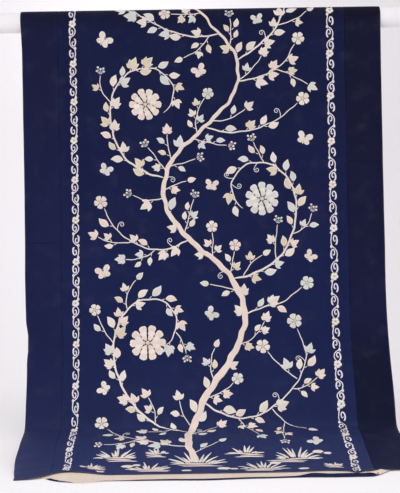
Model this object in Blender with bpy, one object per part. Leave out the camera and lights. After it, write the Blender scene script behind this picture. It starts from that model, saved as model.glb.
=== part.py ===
"""Embroidered silk panel on its hanging rail.

A long strip of dark blue silk hangs doubled over a white round rail. Its front half falls straight,
then sweeps forward and lies face up on the surface below. Its rear half follows close behind, runs
forward underneath, and shows its lining side up beyond the front hem. The strip is pieced from a
wide centre panel and a band down each side, each band in two lengths, over one pale lining.

Metres, +Z up. The front faces -Y, z = 0 is the surface that the lower end lies on, and the origin
is the middle of the whole thing's footprint.
"""

import math
from bisect import bisect_right
from collections import namedtuple

import bmesh
import bpy
from mathutils import Matrix, Vector

# The rail, which the loom-width cloth hangs over.
RAIL_RADIUS = 0.027
RAIL_LENGTH = 1.30
RAIL_SIDES = 48
RAIL_EDGE_ROUND = 0.0015

# The cloth, measured flat. The centre panel is one loom width of 30 inches.
PANEL_WIDTH = 0.762
BAND_WIDTH = 0.097
PANEL_COLUMNS = 16
BAND_COLUMNS = 3
SHEET = 0.001
GAP = 0.0003
REST_GAP = 0.0004
CREST_HEIGHT = 1.1445
ROWS_SHORT_OF_FRONT_HEM = 1

PANEL_EDGE = PANEL_WIDTH / 2
CLOTH_EDGE = PANEL_EDGE + BAND_WIDTH
CLOTH_DEPTH = 2 * SHEET + GAP

# The lining's inner side turns over the rail on this radius, in this many steps. PROBE is how far
# apart two points lie that measure the cloth's slope.
INNER_RADIUS = RAIL_RADIUS + REST_GAP
QUARTER_TURN = INNER_RADIUS * math.pi / 2
TURN_STEPS = 16
PROBE = 0.002
RAIL_HEIGHT = CREST_HEIGHT - INNER_RADIUS - CLOTH_DEPTH

# How each half falls, from the rail down to its hem: where its inner side passes, forward of the
# rail's axis and above the surface, how far the middle drifts to the right, and the steps that
# lead there from the place above.
Place = namedtuple("Place", "name forward height drift steps")
FRONT_HALF = (
    Place("right seam", 0.0460, 0.7280, 0.0010, 5),
    Place("left seam", 0.0633, 0.5240, 0.0015, 3),
    Place("start of the sweep", 0.1050, 0.2700, -0.0010, 4),
    Place("middle of the sweep", 0.1713, 0.1150, 0.0005, 4),
    Place("bend", 0.2073, 0.0510, 0.0010, 3),
    Place("top of the slope", 0.2823, 0.0385, 0.0018, 5),
    Place("middle of the slope", 0.3473, 0.0190, 0.0045, 4),
    Place("foot of the slope", 0.4023, 0.0055, 0.0075, 3),
    Place("flat", 0.4390, 0.0032, 0.0085, 2),
    Place("hem", 0.4583, 0.0032, 0.0085, 2),
)
REAR_HALF = (
    Place("upper part", -0.0105, 0.7280, 0.0000, 4),
    Place("lower part", 0.0060, 0.5240, 0.0005, 3),
    Place("start of the sweep", 0.0470, 0.2700, 0.0005, 4),
    Place("middle of the sweep", 0.1120, 0.1050, 0.0010, 4),
    Place("bend", 0.1600, 0.0500, 0.0020, 3),
    Place("top of the slope", 0.2150, 0.0235, 0.0030, 2),
    Place("middle of the slope", 0.2850, 0.0095, 0.0045, 2),
    Place("foot of the slope", 0.3450, 0.0035, 0.0065, 2),
    Place("start of the flat", 0.3950, CLOTH_DEPTH, 0.0080, 2),
    Place("hem", 0.4993, CLOTH_DEPTH, 0.0090, 4),
)

# Where the cloth leaves that even fall. Each fold is a soft bell, centred so far across and so far
# up from its half's hem, and it moves the cloth to the right, forward and up.
Fold = namedtuple("Fold", "name half across spread up reach right forward lift")
FRONT, REAR = 1, -1
FOLDS = (
    Fold("hem lifts", FRONT, -0.322, 0.085, 0.00, 0.09, 0.000, 0.000, 0.0070),
    Fold("hem dips back", FRONT, 0.270, 0.090, 0.00, 0.10, 0.000, -0.006, 0.0),
    Fold("hem comes out", FRONT, 0.345, 0.070, 0.00, 0.10, 0.000, 0.006, 0.0),
    Fold("corner reaches out", FRONT, -CLOTH_EDGE, 0.150, 0.00, 0.35, 0.014, 0.032, 0.0),
    Fold("corner settles", FRONT, -CLOTH_EDGE, 0.070, 0.00, 0.04, 0.000, 0.000, -0.0026),
    Fold("left edge falls back", FRONT, -CLOTH_EDGE, 0.210, 0.36, 0.34, 0.007, -0.024, 0.0),
    Fold("left edge nicks", FRONT, -CLOTH_EDGE, 0.050, 0.495, 0.06, 0.004, -0.004, 0.0),
    Fold("right edge swells", FRONT, CLOTH_EDGE, 0.210, 0.36, 0.30, 0.003, 0.012, 0.0),
    Fold("rear hem bows", REAR, -0.270, 0.300, 0.00, 0.30, 0.000, 0.021, 0.0),
    Fold("left corner lags", REAR, -CLOTH_EDGE, 0.125, 0.00, 0.60, 0.012, -0.095, 0.0),
    Fold("right corner lags", REAR, CLOTH_EDGE, 0.105, 0.00, 0.60, -0.008, -0.080, 0.0),
)

# How far the lining stops short of the rear hem, where the turned edge of the silk shows.
Inset = namedtuple("Inset", "across short")
REAR_INSETS = (
    Inset(-CLOTH_EDGE, 0.012),
    Inset(-0.36, 0.014),
    Inset(-0.30, 0.003),
    Inset(-0.19, 0.004),
    Inset(-0.10, 0.010),
    Inset(0.05, 0.014),
    Inset(0.15, 0.019),
    Inset(0.22, 0.030),
    Inset(0.31, 0.030),
    Inset(0.38, 0.006),
    Inset(CLOTH_EDGE, 0.008),
)

# Name, colour and roughness of each finish.
Finish = namedtuple("Finish", "name colour roughness")
WHITE_PAINT = Finish("white paint", (0.88, 0.86, 0.86), 0.45)
PANEL_SILK = Finish("panel silk", (0.014, 0.018, 0.060), 0.55)
LEFT_SILK = Finish("left band silk", (0.014, 0.017, 0.052), 0.50)
RIGHT_SILK = Finish("right band silk", (0.011, 0.012, 0.034), 0.65)
LINING_COTTON = Finish("lining cotton", (0.66, 0.55, 0.46), 0.80)


class Curve:
    """A smooth curve through values at rising distances, which never overshoots between them."""

    def __init__(self, distances, values, first_slope, last_slope):
        self.distances = distances
        self.values = values
        rises = [
            (values[i + 1] - values[i]) / (distances[i + 1] - distances[i])
            for i in range(len(values) - 1)
        ]
        self.slopes = [first_slope]
        for before, after in zip(rises, rises[1:]):
            same_way = before * after > 0
            self.slopes.append(2 * before * after / (before + after) if same_way else 0.0)
        self.slopes.append(last_slope)

    def at(self, distance):
        """The curve's value at a distance, held at its end value past the last one."""
        distance = min(max(distance, self.distances[0]), self.distances[-1])
        i = min(bisect_right(self.distances, distance), len(self.distances) - 1) - 1
        span = self.distances[i + 1] - self.distances[i]
        t = (distance - self.distances[i]) / span
        return (
            (1 + 2 * t) * (1 - t) ** 2 * self.values[i]
            + t * (1 - t) ** 2 * span * self.slopes[i]
            + t * t * (3 - 2 * t) * self.values[i + 1]
            - t * t * (1 - t) * span * self.slopes[i + 1]
        )


class Half:
    """One half of the strip: its fall from the rail to its hem, by distance from the crest."""

    def __init__(self, side, places):
        self.side = side
        leaves_rail = Place("leaves the rail", side * INNER_RADIUS, RAIL_HEIGHT, 0.0, TURN_STEPS // 2)
        self.places = (leaves_rail,) + places
        self.distances = [QUARTER_TURN]
        for upper, lower in zip(self.places, self.places[1:]):
            step = math.hypot(lower.forward - upper.forward, lower.height - upper.height)
            self.distances.append(self.distances[-1] + step)
        self.length = self.distances[-1]
        self.forward = Curve(self.distances, [p.forward for p in self.places], 0.0, 1.0)
        self.height = Curve(self.distances, [p.height for p in self.places], -1.0, 0.0)
        self.drift = Curve(self.distances, [p.drift for p in self.places], 0.0, 0.0)

    def rows(self):
        """Signed distances from the crest of this half's rows, crest first and left out."""
        found = []
        above = 0.0
        for place, distance in zip(self.places, self.distances):
            for step in range(1, place.steps + 1):
                found.append(self.side * (above + (distance - above) * step / place.steps))
            above = distance
        return found

    def distance_of(self, name):
        """Signed distance from the crest of the place with this name."""
        names = [place.name for place in self.places]
        return self.side * self.distances[names.index(name)]


HALVES = {FRONT: Half(FRONT, FRONT_HALF), REAR: Half(REAR, REAR_HALF)}


def bell(offset, spread):
    """A soft bump: 1 at the middle, 0 from the spread outwards."""
    t = min(abs(offset) / spread, 1.0)
    return (1 - t * t) ** 2


def cloth_point(across, along):
    """Where the lining's inner side passes.

    across is the flat distance right of the middle line, and along the flat distance from the
    crest, positive down the front half and negative down the rear one.
    """
    half = HALVES[FRONT if along >= 0 else REAR]
    run = abs(along)
    if run < QUARTER_TURN:
        angle = run / INNER_RADIUS
        forward = half.side * INNER_RADIUS * math.sin(angle)
        height = RAIL_HEIGHT + INNER_RADIUS * math.cos(angle)
        right = 0.0
    else:
        forward = half.forward.at(run)
        height = half.height.at(run)
        right = half.drift.at(run)
    for fold in FOLDS:
        if fold.half == half.side:
            weight = bell(across - fold.across, fold.spread)
            weight *= bell(half.length - run - fold.up, fold.reach)
            right += weight * fold.right
            forward += weight * fold.forward
            height += weight * fold.lift
    return Vector((across + right, -forward, height))


def outward(across, along):
    """The direction away from the rail, square to the cloth."""
    low = max(along - PROBE, -HALVES[REAR].length)
    high = min(along + PROBE, HALVES[FRONT].length)
    sideways = cloth_point(across + PROBE, along) - cloth_point(across - PROBE, along)
    downwards = cloth_point(across, high) - cloth_point(across, low)
    return -sideways.cross(downwards).normalized()


def rear_inset(across):
    """How far the lining stops short of the rear hem at this place across."""
    for left, right in zip(REAR_INSETS, REAR_INSETS[1:]):
        if across <= right.across:
            share = (across - left.across) / (right.across - left.across)
            return left.short + (right.short - left.short) * share
    return REAR_INSETS[-1].short


def even_columns(left, right, count):
    """Places across from left to right, count steps apart."""
    return [left + (right - left) * i / count for i in range(count + 1)]


def cloth_rows():
    """Distances from the crest of every row, from the rear hem to the front hem."""
    return HALVES[REAR].rows()[::-1] + [0.0] + HALVES[FRONT].rows()


def plain_material(finish):
    """A material with the finish's colour and roughness."""
    material = bpy.data.materials.new(finish.name)
    material.use_nodes = True
    shader = material.node_tree.nodes["Principled BSDF"]
    shader.inputs["Base Color"].default_value = (*finish.colour, 1.0)
    shader.inputs["Roughness"].default_value = finish.roughness
    return material


def add_object(name, bm, finish):
    """Links the finished mesh as a smooth-shaded object with its own material."""
    mesh = bpy.data.meshes.new(name)
    bm.to_mesh(mesh)
    bm.free()
    mesh.shade_smooth()
    mesh.set_sharp_from_angle(angle=math.radians(40))
    mesh.materials.append(plain_material(finish))
    obj = bpy.data.objects.new(name, mesh)
    bpy.context.scene.collection.objects.link(obj)
    return obj


def add_sheet(name, columns, rows, depth, outwards, finish, end_row=None):
    """One cut piece of cloth, laid on the shape of the fall and given its thickness.

    depth is how far its grid lies outside the lining's inner side, and outwards is 1 where the
    piece thickens away from the rail and -1 where it thickens towards it. end_row gives the first
    row's distance from the crest at each place across, where that edge isn't straight. The grid's
    faces are turned over because they would otherwise look towards the rail, and every quad is cut
    along the same diagonal, so that two layers on the same columns and rows stay parallel.
    """
    bm = bmesh.new()
    across_steps = len(columns) - 1
    along_steps = len(rows) - 1
    bmesh.ops.create_grid(bm, x_segments=across_steps, y_segments=along_steps, size=1.0)
    for vertex in bm.verts:
        column = round((vertex.co.x + 1) / 2 * across_steps)
        row = round((vertex.co.y + 1) / 2 * along_steps)
        across = columns[column]
        along = end_row(across) if end_row and row == 0 else rows[row]
        vertex.co = cloth_point(across, along) + outward(across, along) * depth
    bmesh.ops.reverse_faces(bm, faces=bm.faces)
    bmesh.ops.triangulate(bm, faces=bm.faces, quad_method="FIXED")
    obj = add_object(name, bm, finish)
    thickness = obj.modifiers.new("thickness", "SOLIDIFY")
    thickness.thickness = SHEET
    thickness.offset = outwards
    thickness.use_even_offset = True
    return obj


def add_face_piece(name, columns, rows, finish):
    """A piece of the silk face, outside the lining."""
    return add_sheet(name, columns, rows, SHEET + GAP, 1.0, finish)


def add_centre_panel():
    """The loom width down the middle, in one length."""
    columns = even_columns(-PANEL_EDGE, PANEL_EDGE, PANEL_COLUMNS)
    return add_face_piece("centre_panel", columns, cloth_rows(), PANEL_SILK)


def add_band(name, side, seam, finish):
    """One side band in its two lengths, which meet at the seam on the front half."""
    edges = sorted((side * (PANEL_EDGE + GAP), side * CLOTH_EDGE))
    columns = even_columns(*edges, BAND_COLUMNS)
    rows = cloth_rows()
    upper = [row for row in rows if row < seam - GAP] + [seam - GAP / 2]
    lower = [seam + GAP / 2] + [row for row in rows if row > seam + GAP]
    return [
        add_face_piece(name + "_upper", columns, upper, finish),
        add_face_piece(name + "_lower", columns, lower, finish),
    ]


def add_lining():
    """The pale lining, as wide as the pieced face and a little shorter at both hems."""
    panel = even_columns(-PANEL_EDGE, PANEL_EDGE, PANEL_COLUMNS)
    left = even_columns(-CLOTH_EDGE, -PANEL_EDGE, BAND_COLUMNS)
    right = even_columns(PANEL_EDGE, CLOTH_EDGE, BAND_COLUMNS)
    columns = left[:-1] + panel + right[1:]
    rows = cloth_rows()[:-ROWS_SHORT_OF_FRONT_HEM]
    rear_hem = rows[0]
    return add_sheet(
        "lining",
        columns,
        rows,
        SHEET,
        -1.0,
        LINING_COTTON,
        end_row=lambda across: rear_hem + rear_inset(across),
    )


def add_rail():
    """The plain round rail, along X, with lightly rounded ends."""
    bm = bmesh.new()
    bmesh.ops.create_cone(
        bm,
        cap_ends=True,
        segments=RAIL_SIDES,
        radius1=RAIL_RADIUS,
        radius2=RAIL_RADIUS,
        depth=RAIL_LENGTH,
        matrix=Matrix.Rotation(math.pi / 2, 4, "Y"),
    )
    caps = [face for face in bm.faces if len(face.verts) == RAIL_SIDES]
    rims = list({edge for face in caps for edge in face.edges})
    bmesh.ops.bevel(bm, geom=rims, offset=RAIL_EDGE_ROUND, segments=1, affect="EDGES")
    obj = add_object("rail", bm, WHITE_PAINT)
    obj.location = (0.0, 0.0, RAIL_HEIGHT)
    return obj


def centre_footprint(objects):
    """Moves everything along Y until the origin is the middle of its footprint."""
    graph = bpy.context.evaluated_depsgraph_get()
    low, high = math.inf, -math.inf
    for obj in objects:
        shape = obj.evaluated_get(graph)
        places = [(obj.matrix_world @ vertex.co).y for vertex in shape.data.vertices]
        low = min(low, *places)
        high = max(high, *places)
    for obj in objects:
        obj.location.y -= (low + high) / 2


def main():
    for obj in list(bpy.data.objects):
        bpy.data.objects.remove(obj, do_unlink=True)
    pieces = [add_rail(), add_centre_panel(), add_lining()]
    pieces += add_band("left_band", -1, HALVES[FRONT].distance_of("left seam"), LEFT_SILK)
    pieces += add_band("right_band", 1, HALVES[FRONT].distance_of("right seam"), RIGHT_SILK)
    bpy.context.view_layer.update()
    centre_footprint(pieces)


main()
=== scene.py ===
"""Embroidered silk panel on its hanging rail.

A long strip of dark blue silk hangs doubled over a white rail and sweeps forward onto the surface
below. It is pieced from a loom width and a band down each side, each band in two lengths, and is
backed with pale cotton. Two scroll borders run its whole length, and a flowering vine of a general
kind fills the field between them.

Metres, +Z up, and the front faces -Y. On the cloth, across is the flat distance right of its middle
line, along is the flat distance from the crest over the rail, positive down the front half, and
above is the flat distance up from the front hem.
"""

import logging
import math
from dataclasses import dataclass, field
from enum import Enum
from typing import Callable, Iterable, NamedTuple, Sequence

import bmesh
import bpy
import numpy as np
from mathutils import Matrix, Vector


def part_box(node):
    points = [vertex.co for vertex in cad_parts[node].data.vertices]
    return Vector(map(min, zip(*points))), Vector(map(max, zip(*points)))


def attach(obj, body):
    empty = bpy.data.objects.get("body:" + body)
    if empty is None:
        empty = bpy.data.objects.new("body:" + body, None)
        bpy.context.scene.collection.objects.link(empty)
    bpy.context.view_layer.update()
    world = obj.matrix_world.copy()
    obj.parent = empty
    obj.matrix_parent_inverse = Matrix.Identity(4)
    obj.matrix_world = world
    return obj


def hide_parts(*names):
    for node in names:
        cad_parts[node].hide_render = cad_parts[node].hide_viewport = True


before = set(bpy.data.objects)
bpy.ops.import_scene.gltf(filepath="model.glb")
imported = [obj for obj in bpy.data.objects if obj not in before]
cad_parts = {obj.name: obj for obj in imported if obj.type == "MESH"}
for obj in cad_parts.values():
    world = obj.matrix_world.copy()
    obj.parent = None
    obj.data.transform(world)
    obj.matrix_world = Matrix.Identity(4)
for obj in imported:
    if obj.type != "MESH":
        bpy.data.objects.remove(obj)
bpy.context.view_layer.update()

log = logging.getLogger("silk_panel")

Colour = tuple[float, float, float]
Rows = tuple[tuple[float, ...], ...]
Array = np.ndarray
Obj, Material = bpy.types.Object, bpy.types.Material
Node, Tree = bpy.types.Node, bpy.types.NodeTree
Socket, Sockets = bpy.types.NodeSocket, bpy.types.NodeOutputs

# The cut cloth, measured flat.
PANEL_EDGE = 0.381
CLOTH_EDGE = 0.478
FACE_DEPTH = 0.0023
LINING_EDGE = CLOTH_EDGE - 0.004
# How far either side of the crest, and up from the rear hem, the grids of the cloth are finer, and
# the places across between which the rear hem is rucked.
CREST_REACH = 0.06
HEM_REACH = 0.045
RUCK_START, RUCK_END = 0.352, 0.416
# The place along that lies midway between the two hems, and the distance from it to either hem.
HEMS_MIDDLE = -0.0493
HEMS_REACH = 1.4403


def shade(*levels: int) -> Colour:
    """A light-linear colour from its red, green and blue display levels, 0 to 255."""
    shares = (level / 255 for level in levels)
    return tuple(v / 12.92 if v <= 0.04045 else ((v + 0.055) / 1.055) ** 2.4 for v in shares)


def bell(offset: Array, spread: float) -> Array:
    """A soft bump, 1 at the middle and 0 from the spread outwards."""
    share = np.minimum(np.abs(offset) / spread, 1.0)
    return (1 - share * share) ** 2


def soft_step(value: Array, low: float, high: float) -> Array:
    """A smooth rise from 0 at low to 1 at high."""
    t = np.clip((value - low) / (high - low), 0.0, 1.0)
    return t * t * (3 - 2 * t)


# ---- How the cloth falls


class Side(Enum):
    """The two halves of the strip, and the way each runs from the crest."""

    FRONT = 1
    REAR = -1


class Place(NamedTuple):
    """Where a half's inner side passes, forward of the rail's axis and above the surface."""

    forward: float
    height: float
    drift: float


class Fold(NamedTuple):
    """A broad soft move of the cloth, centred across and up from its half's hem."""

    across: float
    spread: float
    up: float
    reach: float
    right: float = 0.0
    forward: float = 0.0
    lift: float = 0.0


class Crease(NamedTuple):
    """A narrow ridge, or a trough where its height is negative, between two places on a half."""

    start: tuple[float, float]
    end: tuple[float, float]
    width: float
    height: float


PLACES = {
    Side.FRONT: (
        Place(0.046, 0.728, 0.001), Place(0.0633, 0.524, 0.0015), Place(0.105, 0.27, -0.001),
        Place(0.1713, 0.115, 0.0005), Place(0.2073, 0.051, 0.001), Place(0.2823, 0.0385, 0.0018),
        Place(0.3473, 0.019, 0.0045), Place(0.4023, 0.0055, 0.0075), Place(0.439, 0.0032, 0.0085),
        Place(0.4583, 0.0032, 0.0085),
    ),
    Side.REAR: (
        Place(-0.0105, 0.728, 0.0), Place(0.006, 0.524, 0.0005), Place(0.047, 0.27, 0.0005),
        Place(0.112, 0.105, 0.001), Place(0.16, 0.05, 0.002), Place(0.215, 0.0235, 0.003),
        Place(0.285, 0.0095, 0.0045), Place(0.345, 0.0035, 0.0065), Place(0.395, 0.0023, 0.008),
        Place(0.4993, 0.0023, 0.009),
    ),
}
RIGHT_SEAM_PLACE, LEFT_SEAM_PLACE = 1, 2
FOLDS = {
    Side.FRONT: (
        Fold(-0.335, 0.095, 0, 0.09, 0, -0.012, 0.0062), Fold(0.27, 0.09, 0, 0.1, 0, -0.006),
        Fold(0.345, 0.07, 0, 0.1, 0, 0.004), Fold(0.345, 0.06, 0, 0.1, -0.008),
        Fold(0.342, 0.02, 0, 0.03, 0, 0.011), Fold(0.386, 0.034, 0, 0.05, 0, 0, 0.0034),
        Fold(0.435, 0.05, 0, 0.08, 0, -0.009), Fold(-CLOTH_EDGE, 0.15, 0, 0.35, 0.014, 0.026),
        Fold(-CLOTH_EDGE, 0.07, 0, 0.04, 0, 0, -0.0026), Fold(-CLOTH_EDGE, 0.09, 0, 0.06, 0.007),
        Fold(-CLOTH_EDGE, 0.1, 0.11, 0.06, -0.003), Fold(-CLOTH_EDGE, 0.21, 0.36, 0.34, 0.007, -0.024),
        Fold(-CLOTH_EDGE, 0.05, 0.495, 0.06, 0.004, -0.004), Fold(CLOTH_EDGE, 0.21, 0.36, 0.3, 0.003, 0.012),
        Fold(-CLOTH_EDGE, 0.12, 1.391, 0.13, -0.0035),
    ),
    Side.REAR: (
        Fold(-CLOTH_EDGE, 0.12, 1.4896, 0.13, -0.0035), Fold(-CLOTH_EDGE, 0.13, 0, 0.6, 0.012, -0.092),
        Fold(-0.3, 0.065, 0, 0.3, 0, 0.013), Fold(-0.1, 0.25, 0, 0.3, 0, 0.0045),
        Fold(-0.01, 0.1, 0, 0.3, 0, 0.005), Fold(0.2, 0.08, 0, 0.3, 0, -0.003),
        Fold(CLOTH_EDGE, 0.12, 0, 0.6, -0.008, -0.085), Fold(-0.34, 0.11, 0.055, 0.05, 0, 0, 0.0048),
        Fold(0.384, 0.044, 0.02, 0.02, 0, 0, 0.0052),
    ),
}
CREASES = {
    Side.FRONT: (
        Crease((0.004, 0.55), (0.006, 1.02), 0.0035, -0.0006),
        Crease((-0.01, 0.3), (0.004, 0.6), 0.006, 0.0005),
        Crease((-0.475, 0.03), (-0.385, 0.044), 0.01, 0.0036),
        Crease((-0.478, 0.066), (-0.372, 0.083), 0.009, 0.0034),
        Crease((-0.476, 0.105), (-0.39, 0.128), 0.01, 0.0032),
        Crease((-0.47, 0.15), (-0.4, 0.162), 0.009, 0.0018),
        Crease((0.392, 0.33), (0.47, 0.415), 0.011, 0.0026),
        Crease((0.388, 0.42), (0.462, 0.49), 0.01, 0.0024), Crease((0.4, 0.54), (0.476, 0.47), 0.01, 0.0022),
        Crease((0.47, 0.3), (0.395, 0.265), 0.012, 0.0022),
        Crease((0.44, 0.56), (0.452, 0.69), 0.007, 0.0014),
        Crease((-0.44, 0.76), (-0.436, 1.12), 0.006, 0.0007),
        Crease((-0.452, 0.3), (-0.44, 0.56), 0.008, 0.001), Crease((0.385, 0.64), (0.47, 0.76), 0.01, 0.0014),
        Crease((0.472, 0.18), (0.4, 0.225), 0.01, 0.0018),
        Crease((0.388, 0.12), (0.472, 0.095), 0.009, 0.0016),
        Crease((-0.3, 0.205), (-0.12, 0.165), 0.012, 0.0012),
        Crease((0.08, 0.17), (0.29, 0.21), 0.012, 0.0012),
    ),
    Side.REAR: (
        Crease((0.376, 0.0215), (0.398, 0.0235), 0.0026, 0.0046),
        Crease((0.378, 0.015), (0.396, 0.0165), 0.004, -0.0022),
        Crease((0.01, 0.4), (-0.008, 1.3), 0.004, -0.0007), Crease((-0.3, 0.5), (-0.26, 1.1), 0.012, 0.0012),
        Crease((0.28, 0.62), (0.24, 1.2), 0.01, 0.001),
    ),
}
# How far the lining stops short of the rear hem: places across, and the distance at each.
REAR_INSET_AT = (
    -0.478, -0.382, -0.377, -0.35, -0.315, -0.27, -0.2, -0.16, -0.05, 0.02,
    0.15, 0.196, 0.226, 0.243, 0.27, 0.293, 0.336, 0.358, 0.384, 0.478,
)
REAR_INSETS = (
    -0.002, -0.002, 0.012, 0.006, -0.002, -0.002, 0.001, 0.006, 0.009, 0.01,
    0.008, 0.01, 0.033, 0.036, 0.028, 0.03, 0.031, 0.024, -0.001, -0.001,
)
# How far the lining's edge drops where it laps over the turned silk, and the lap that drops it fully.
LAP_DROP, FULL_LAP = 0.0016, 0.001
# Closer columns along the crease down the panel's middle.
MIDDLE_COLUMNS = (-0.008, -0.004, -0.0015, 0.001, 0.0035, 0.006, 0.0095, 0.014)


class Curve:
    """A smooth curve through values at rising distances, which never overshoots between them."""

    def __init__(self, distances: Array, values: Array, first: float, last: float) -> None:
        """Works out the curve's slope at each value.

        Args:
            distances: Rising distances.
            values: The value at each.
            first, last: The slopes at the first and the last value.
        """
        self.distances, self.values = distances, values
        rises = np.diff(values) / np.diff(distances)
        before, after = rises[:-1], rises[1:]
        same_way = before * after > 0
        total = np.where(same_way, before + after, 1.0)
        middle = np.where(same_way, 2 * before * after / total, 0.0)
        self.slopes = np.concatenate([[first], middle, [last]])

    def at(self, distance: Array) -> Array:
        """The curve's values at these distances, held past its ends.

        Args:
            distance: The distances.

        Returns:
            The value at each.
        """
        distance = np.clip(distance, self.distances[0], self.distances[-1])
        i = np.searchsorted(self.distances, distance, side="right") - 1
        i = np.clip(i, 0, len(self.distances) - 2)
        span = self.distances[i + 1] - self.distances[i]
        t = (distance - self.distances[i]) / span
        return (
            (1 + 2 * t) * (1 - t) ** 2 * self.values[i]
            + t * (1 - t) ** 2 * span * self.slopes[i]
            + t * t * (3 - 2 * t) * self.values[i + 1]
            - t * t * (1 - t) * span * self.slopes[i + 1]
        )


class HalfFall:
    """One half of the strip, from the rail down to its hem."""

    def __init__(self, side: Side, places: Sequence[Place], radius: float, rail_height: float) -> None:
        """Lays smooth curves through the half's places.

        Args:
            side: Which half it is.
            places: Where its inner side passes, from the rail down.
            radius: The radius that it turns over the rail on.
            rail_height: The height of the rail's axis.
        """
        self.side = side
        self.radius = radius
        self.rail_height = rail_height
        self.turn = radius * math.pi / 2
        stops = [Place(side.value * radius, rail_height, 0.0), *places]
        steps = (math.hypot(b.forward - a.forward, b.height - a.height) for a, b in zip(stops, stops[1:]))
        self.distances = np.cumsum([self.turn, *steps])
        self.length = float(self.distances[-1])
        forward, height, drift = np.array(stops).T
        self.forward = Curve(self.distances, forward, 0.0, 1.0)
        self.height = Curve(self.distances, height, -1.0, 0.0)
        self.drift = Curve(self.distances, drift, 0.0, 0.0)

    def at(self, across: Array, run: Array) -> Array:
        """Points of the inner side.

        Args:
            across: Flat distances right of the middle line.
            run: Flat distances down from the crest.

        Returns:
            One row of three numbers for each: right, forward of the rail's axis, and height.
        """
        on_rail = run < self.turn
        angle = run / self.radius
        forward = np.where(on_rail, self.side.value * self.radius * np.sin(angle), self.forward.at(run))
        forward = forward + np.maximum(run - self.length, 0.0)
        height = np.where(on_rail, self.rail_height + self.radius * np.cos(angle), self.height.at(run))
        right = np.where(on_rail, 0.0, self.drift.at(run))
        for fold in FOLDS[self.side]:
            weight = bell(across - fold.across, fold.spread)
            weight = weight * bell(self.length - run - fold.up, fold.reach)
            right = right + weight * fold.right
            forward = forward + weight * fold.forward
            height = height + weight * fold.lift
        return np.stack([across + right, forward, height], axis=1)


@dataclass
class ClothFall:
    """The shape that all the strip's layers hang and lie on."""

    rest_gap: float = 0.0004
    probe: float = 0.002
    wave: float = 0.0007
    free_from: tuple[float, float] = (0.1, 0.3)
    free_to: tuple[float, float] = (1.0, 1.15)
    halves: dict[Side, HalfFall] = field(init=False)
    rail_y: float = field(init=False)

    def __post_init__(self) -> None:
        """Reads the rail's place from the frame and hangs both halves on it."""
        low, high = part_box("rail")
        self.rail_y = (low.y + high.y) / 2
        radius, middle = (high.z - low.z) / 2 + self.rest_gap, (low.z + high.z) / 2
        self.halves = {side: HalfFall(side, PLACES[side], radius, middle) for side in Side}

    @property
    def front(self) -> float:
        """The front half's length."""
        return self.halves[Side.FRONT].length

    @property
    def rear(self) -> float:
        """The rear half's length."""
        return self.halves[Side.REAR].length

    def point(self, across: Array, along: Array) -> Array:
        """Points of the lining's inner side, in the row frame, before any crease.

        Args:
            across, along: Distances across and along.

        Returns:
            One row of three numbers for each.
        """
        ahead = self.halves[Side.FRONT].at(across, np.abs(along))
        behind = self.halves[Side.REAR].at(across, np.abs(along))
        found = np.where((along >= 0)[:, None], ahead, behind)
        return found * [1.0, -1.0, 1.0] + [0.0, self.rail_y, 0.0]

    def outward(self, across: Array, along: Array) -> Array:
        """Directions square to the cloth, away from the rail.

        Args:
            across, along: Distances across and along.

        Returns:
            One unit direction for each.
        """
        sideways = self.point(across + self.probe, along) - self.point(across - self.probe, along)
        downwards = self.point(across, along + self.probe) - self.point(across, along - self.probe)
        square = -np.cross(sideways, downwards)
        return square / np.linalg.norm(square, axis=1)[:, None]

    def relief(self, across: Array, along: Array) -> Array:
        """How far creases and the cloth's slight waviness stand out from the even fall.

        Args:
            across, along: Distances across and along.

        Returns:
            The height at each.
        """
        found = np.zeros_like(across)
        run = np.abs(along)
        for side, on_half in ((Side.FRONT, along >= 0), (Side.REAR, along < 0)):
            place = np.stack([across, self.halves[side].length - run], axis=1)
            for crease in CREASES[side]:
                start = np.array(crease.start)
                way = np.array(crease.end) - start
                length = float(np.hypot(*way))
                offset = place - start
                t = np.clip(offset @ way / length**2, 0.0, 1.0)
                aside = np.abs(offset[:, 0] * way[1] - offset[:, 1] * way[0]) / length
                beyond = np.linalg.norm(offset - t[:, None] * way, axis=1)
                taper = np.sqrt(np.maximum(4 * t * (1 - t), 0.0))
                fades = np.exp(-((np.maximum(aside, beyond) / crease.width) ** 2))
                found += on_half * crease.height * taper * fades
        hangs = soft_step(run, *self.free_from) * (1 - soft_step(run, *self.free_to))
        slow = np.sin(along * 21 + 3 * across) * np.sin(across * 17 + 0.6)
        quick = 0.6 * np.sin(along * 47 - across * 23 + 1.3)
        return found + self.wave * hangs * (slow + quick)

    def place(self, across: Array, along: Array, depth: Array | float) -> Array:
        """Points at a depth outside the lining's inner side, creases and all."""
        stand = self.relief(across, along) + depth
        return self.point(across, along) + self.outward(across, along) * stand[:, None]

    def seam(self, number: int) -> float:
        """The distance along of the front half's place with this number."""
        return float(self.halves[Side.FRONT].distances[number])


# ---- Finishes


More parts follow.
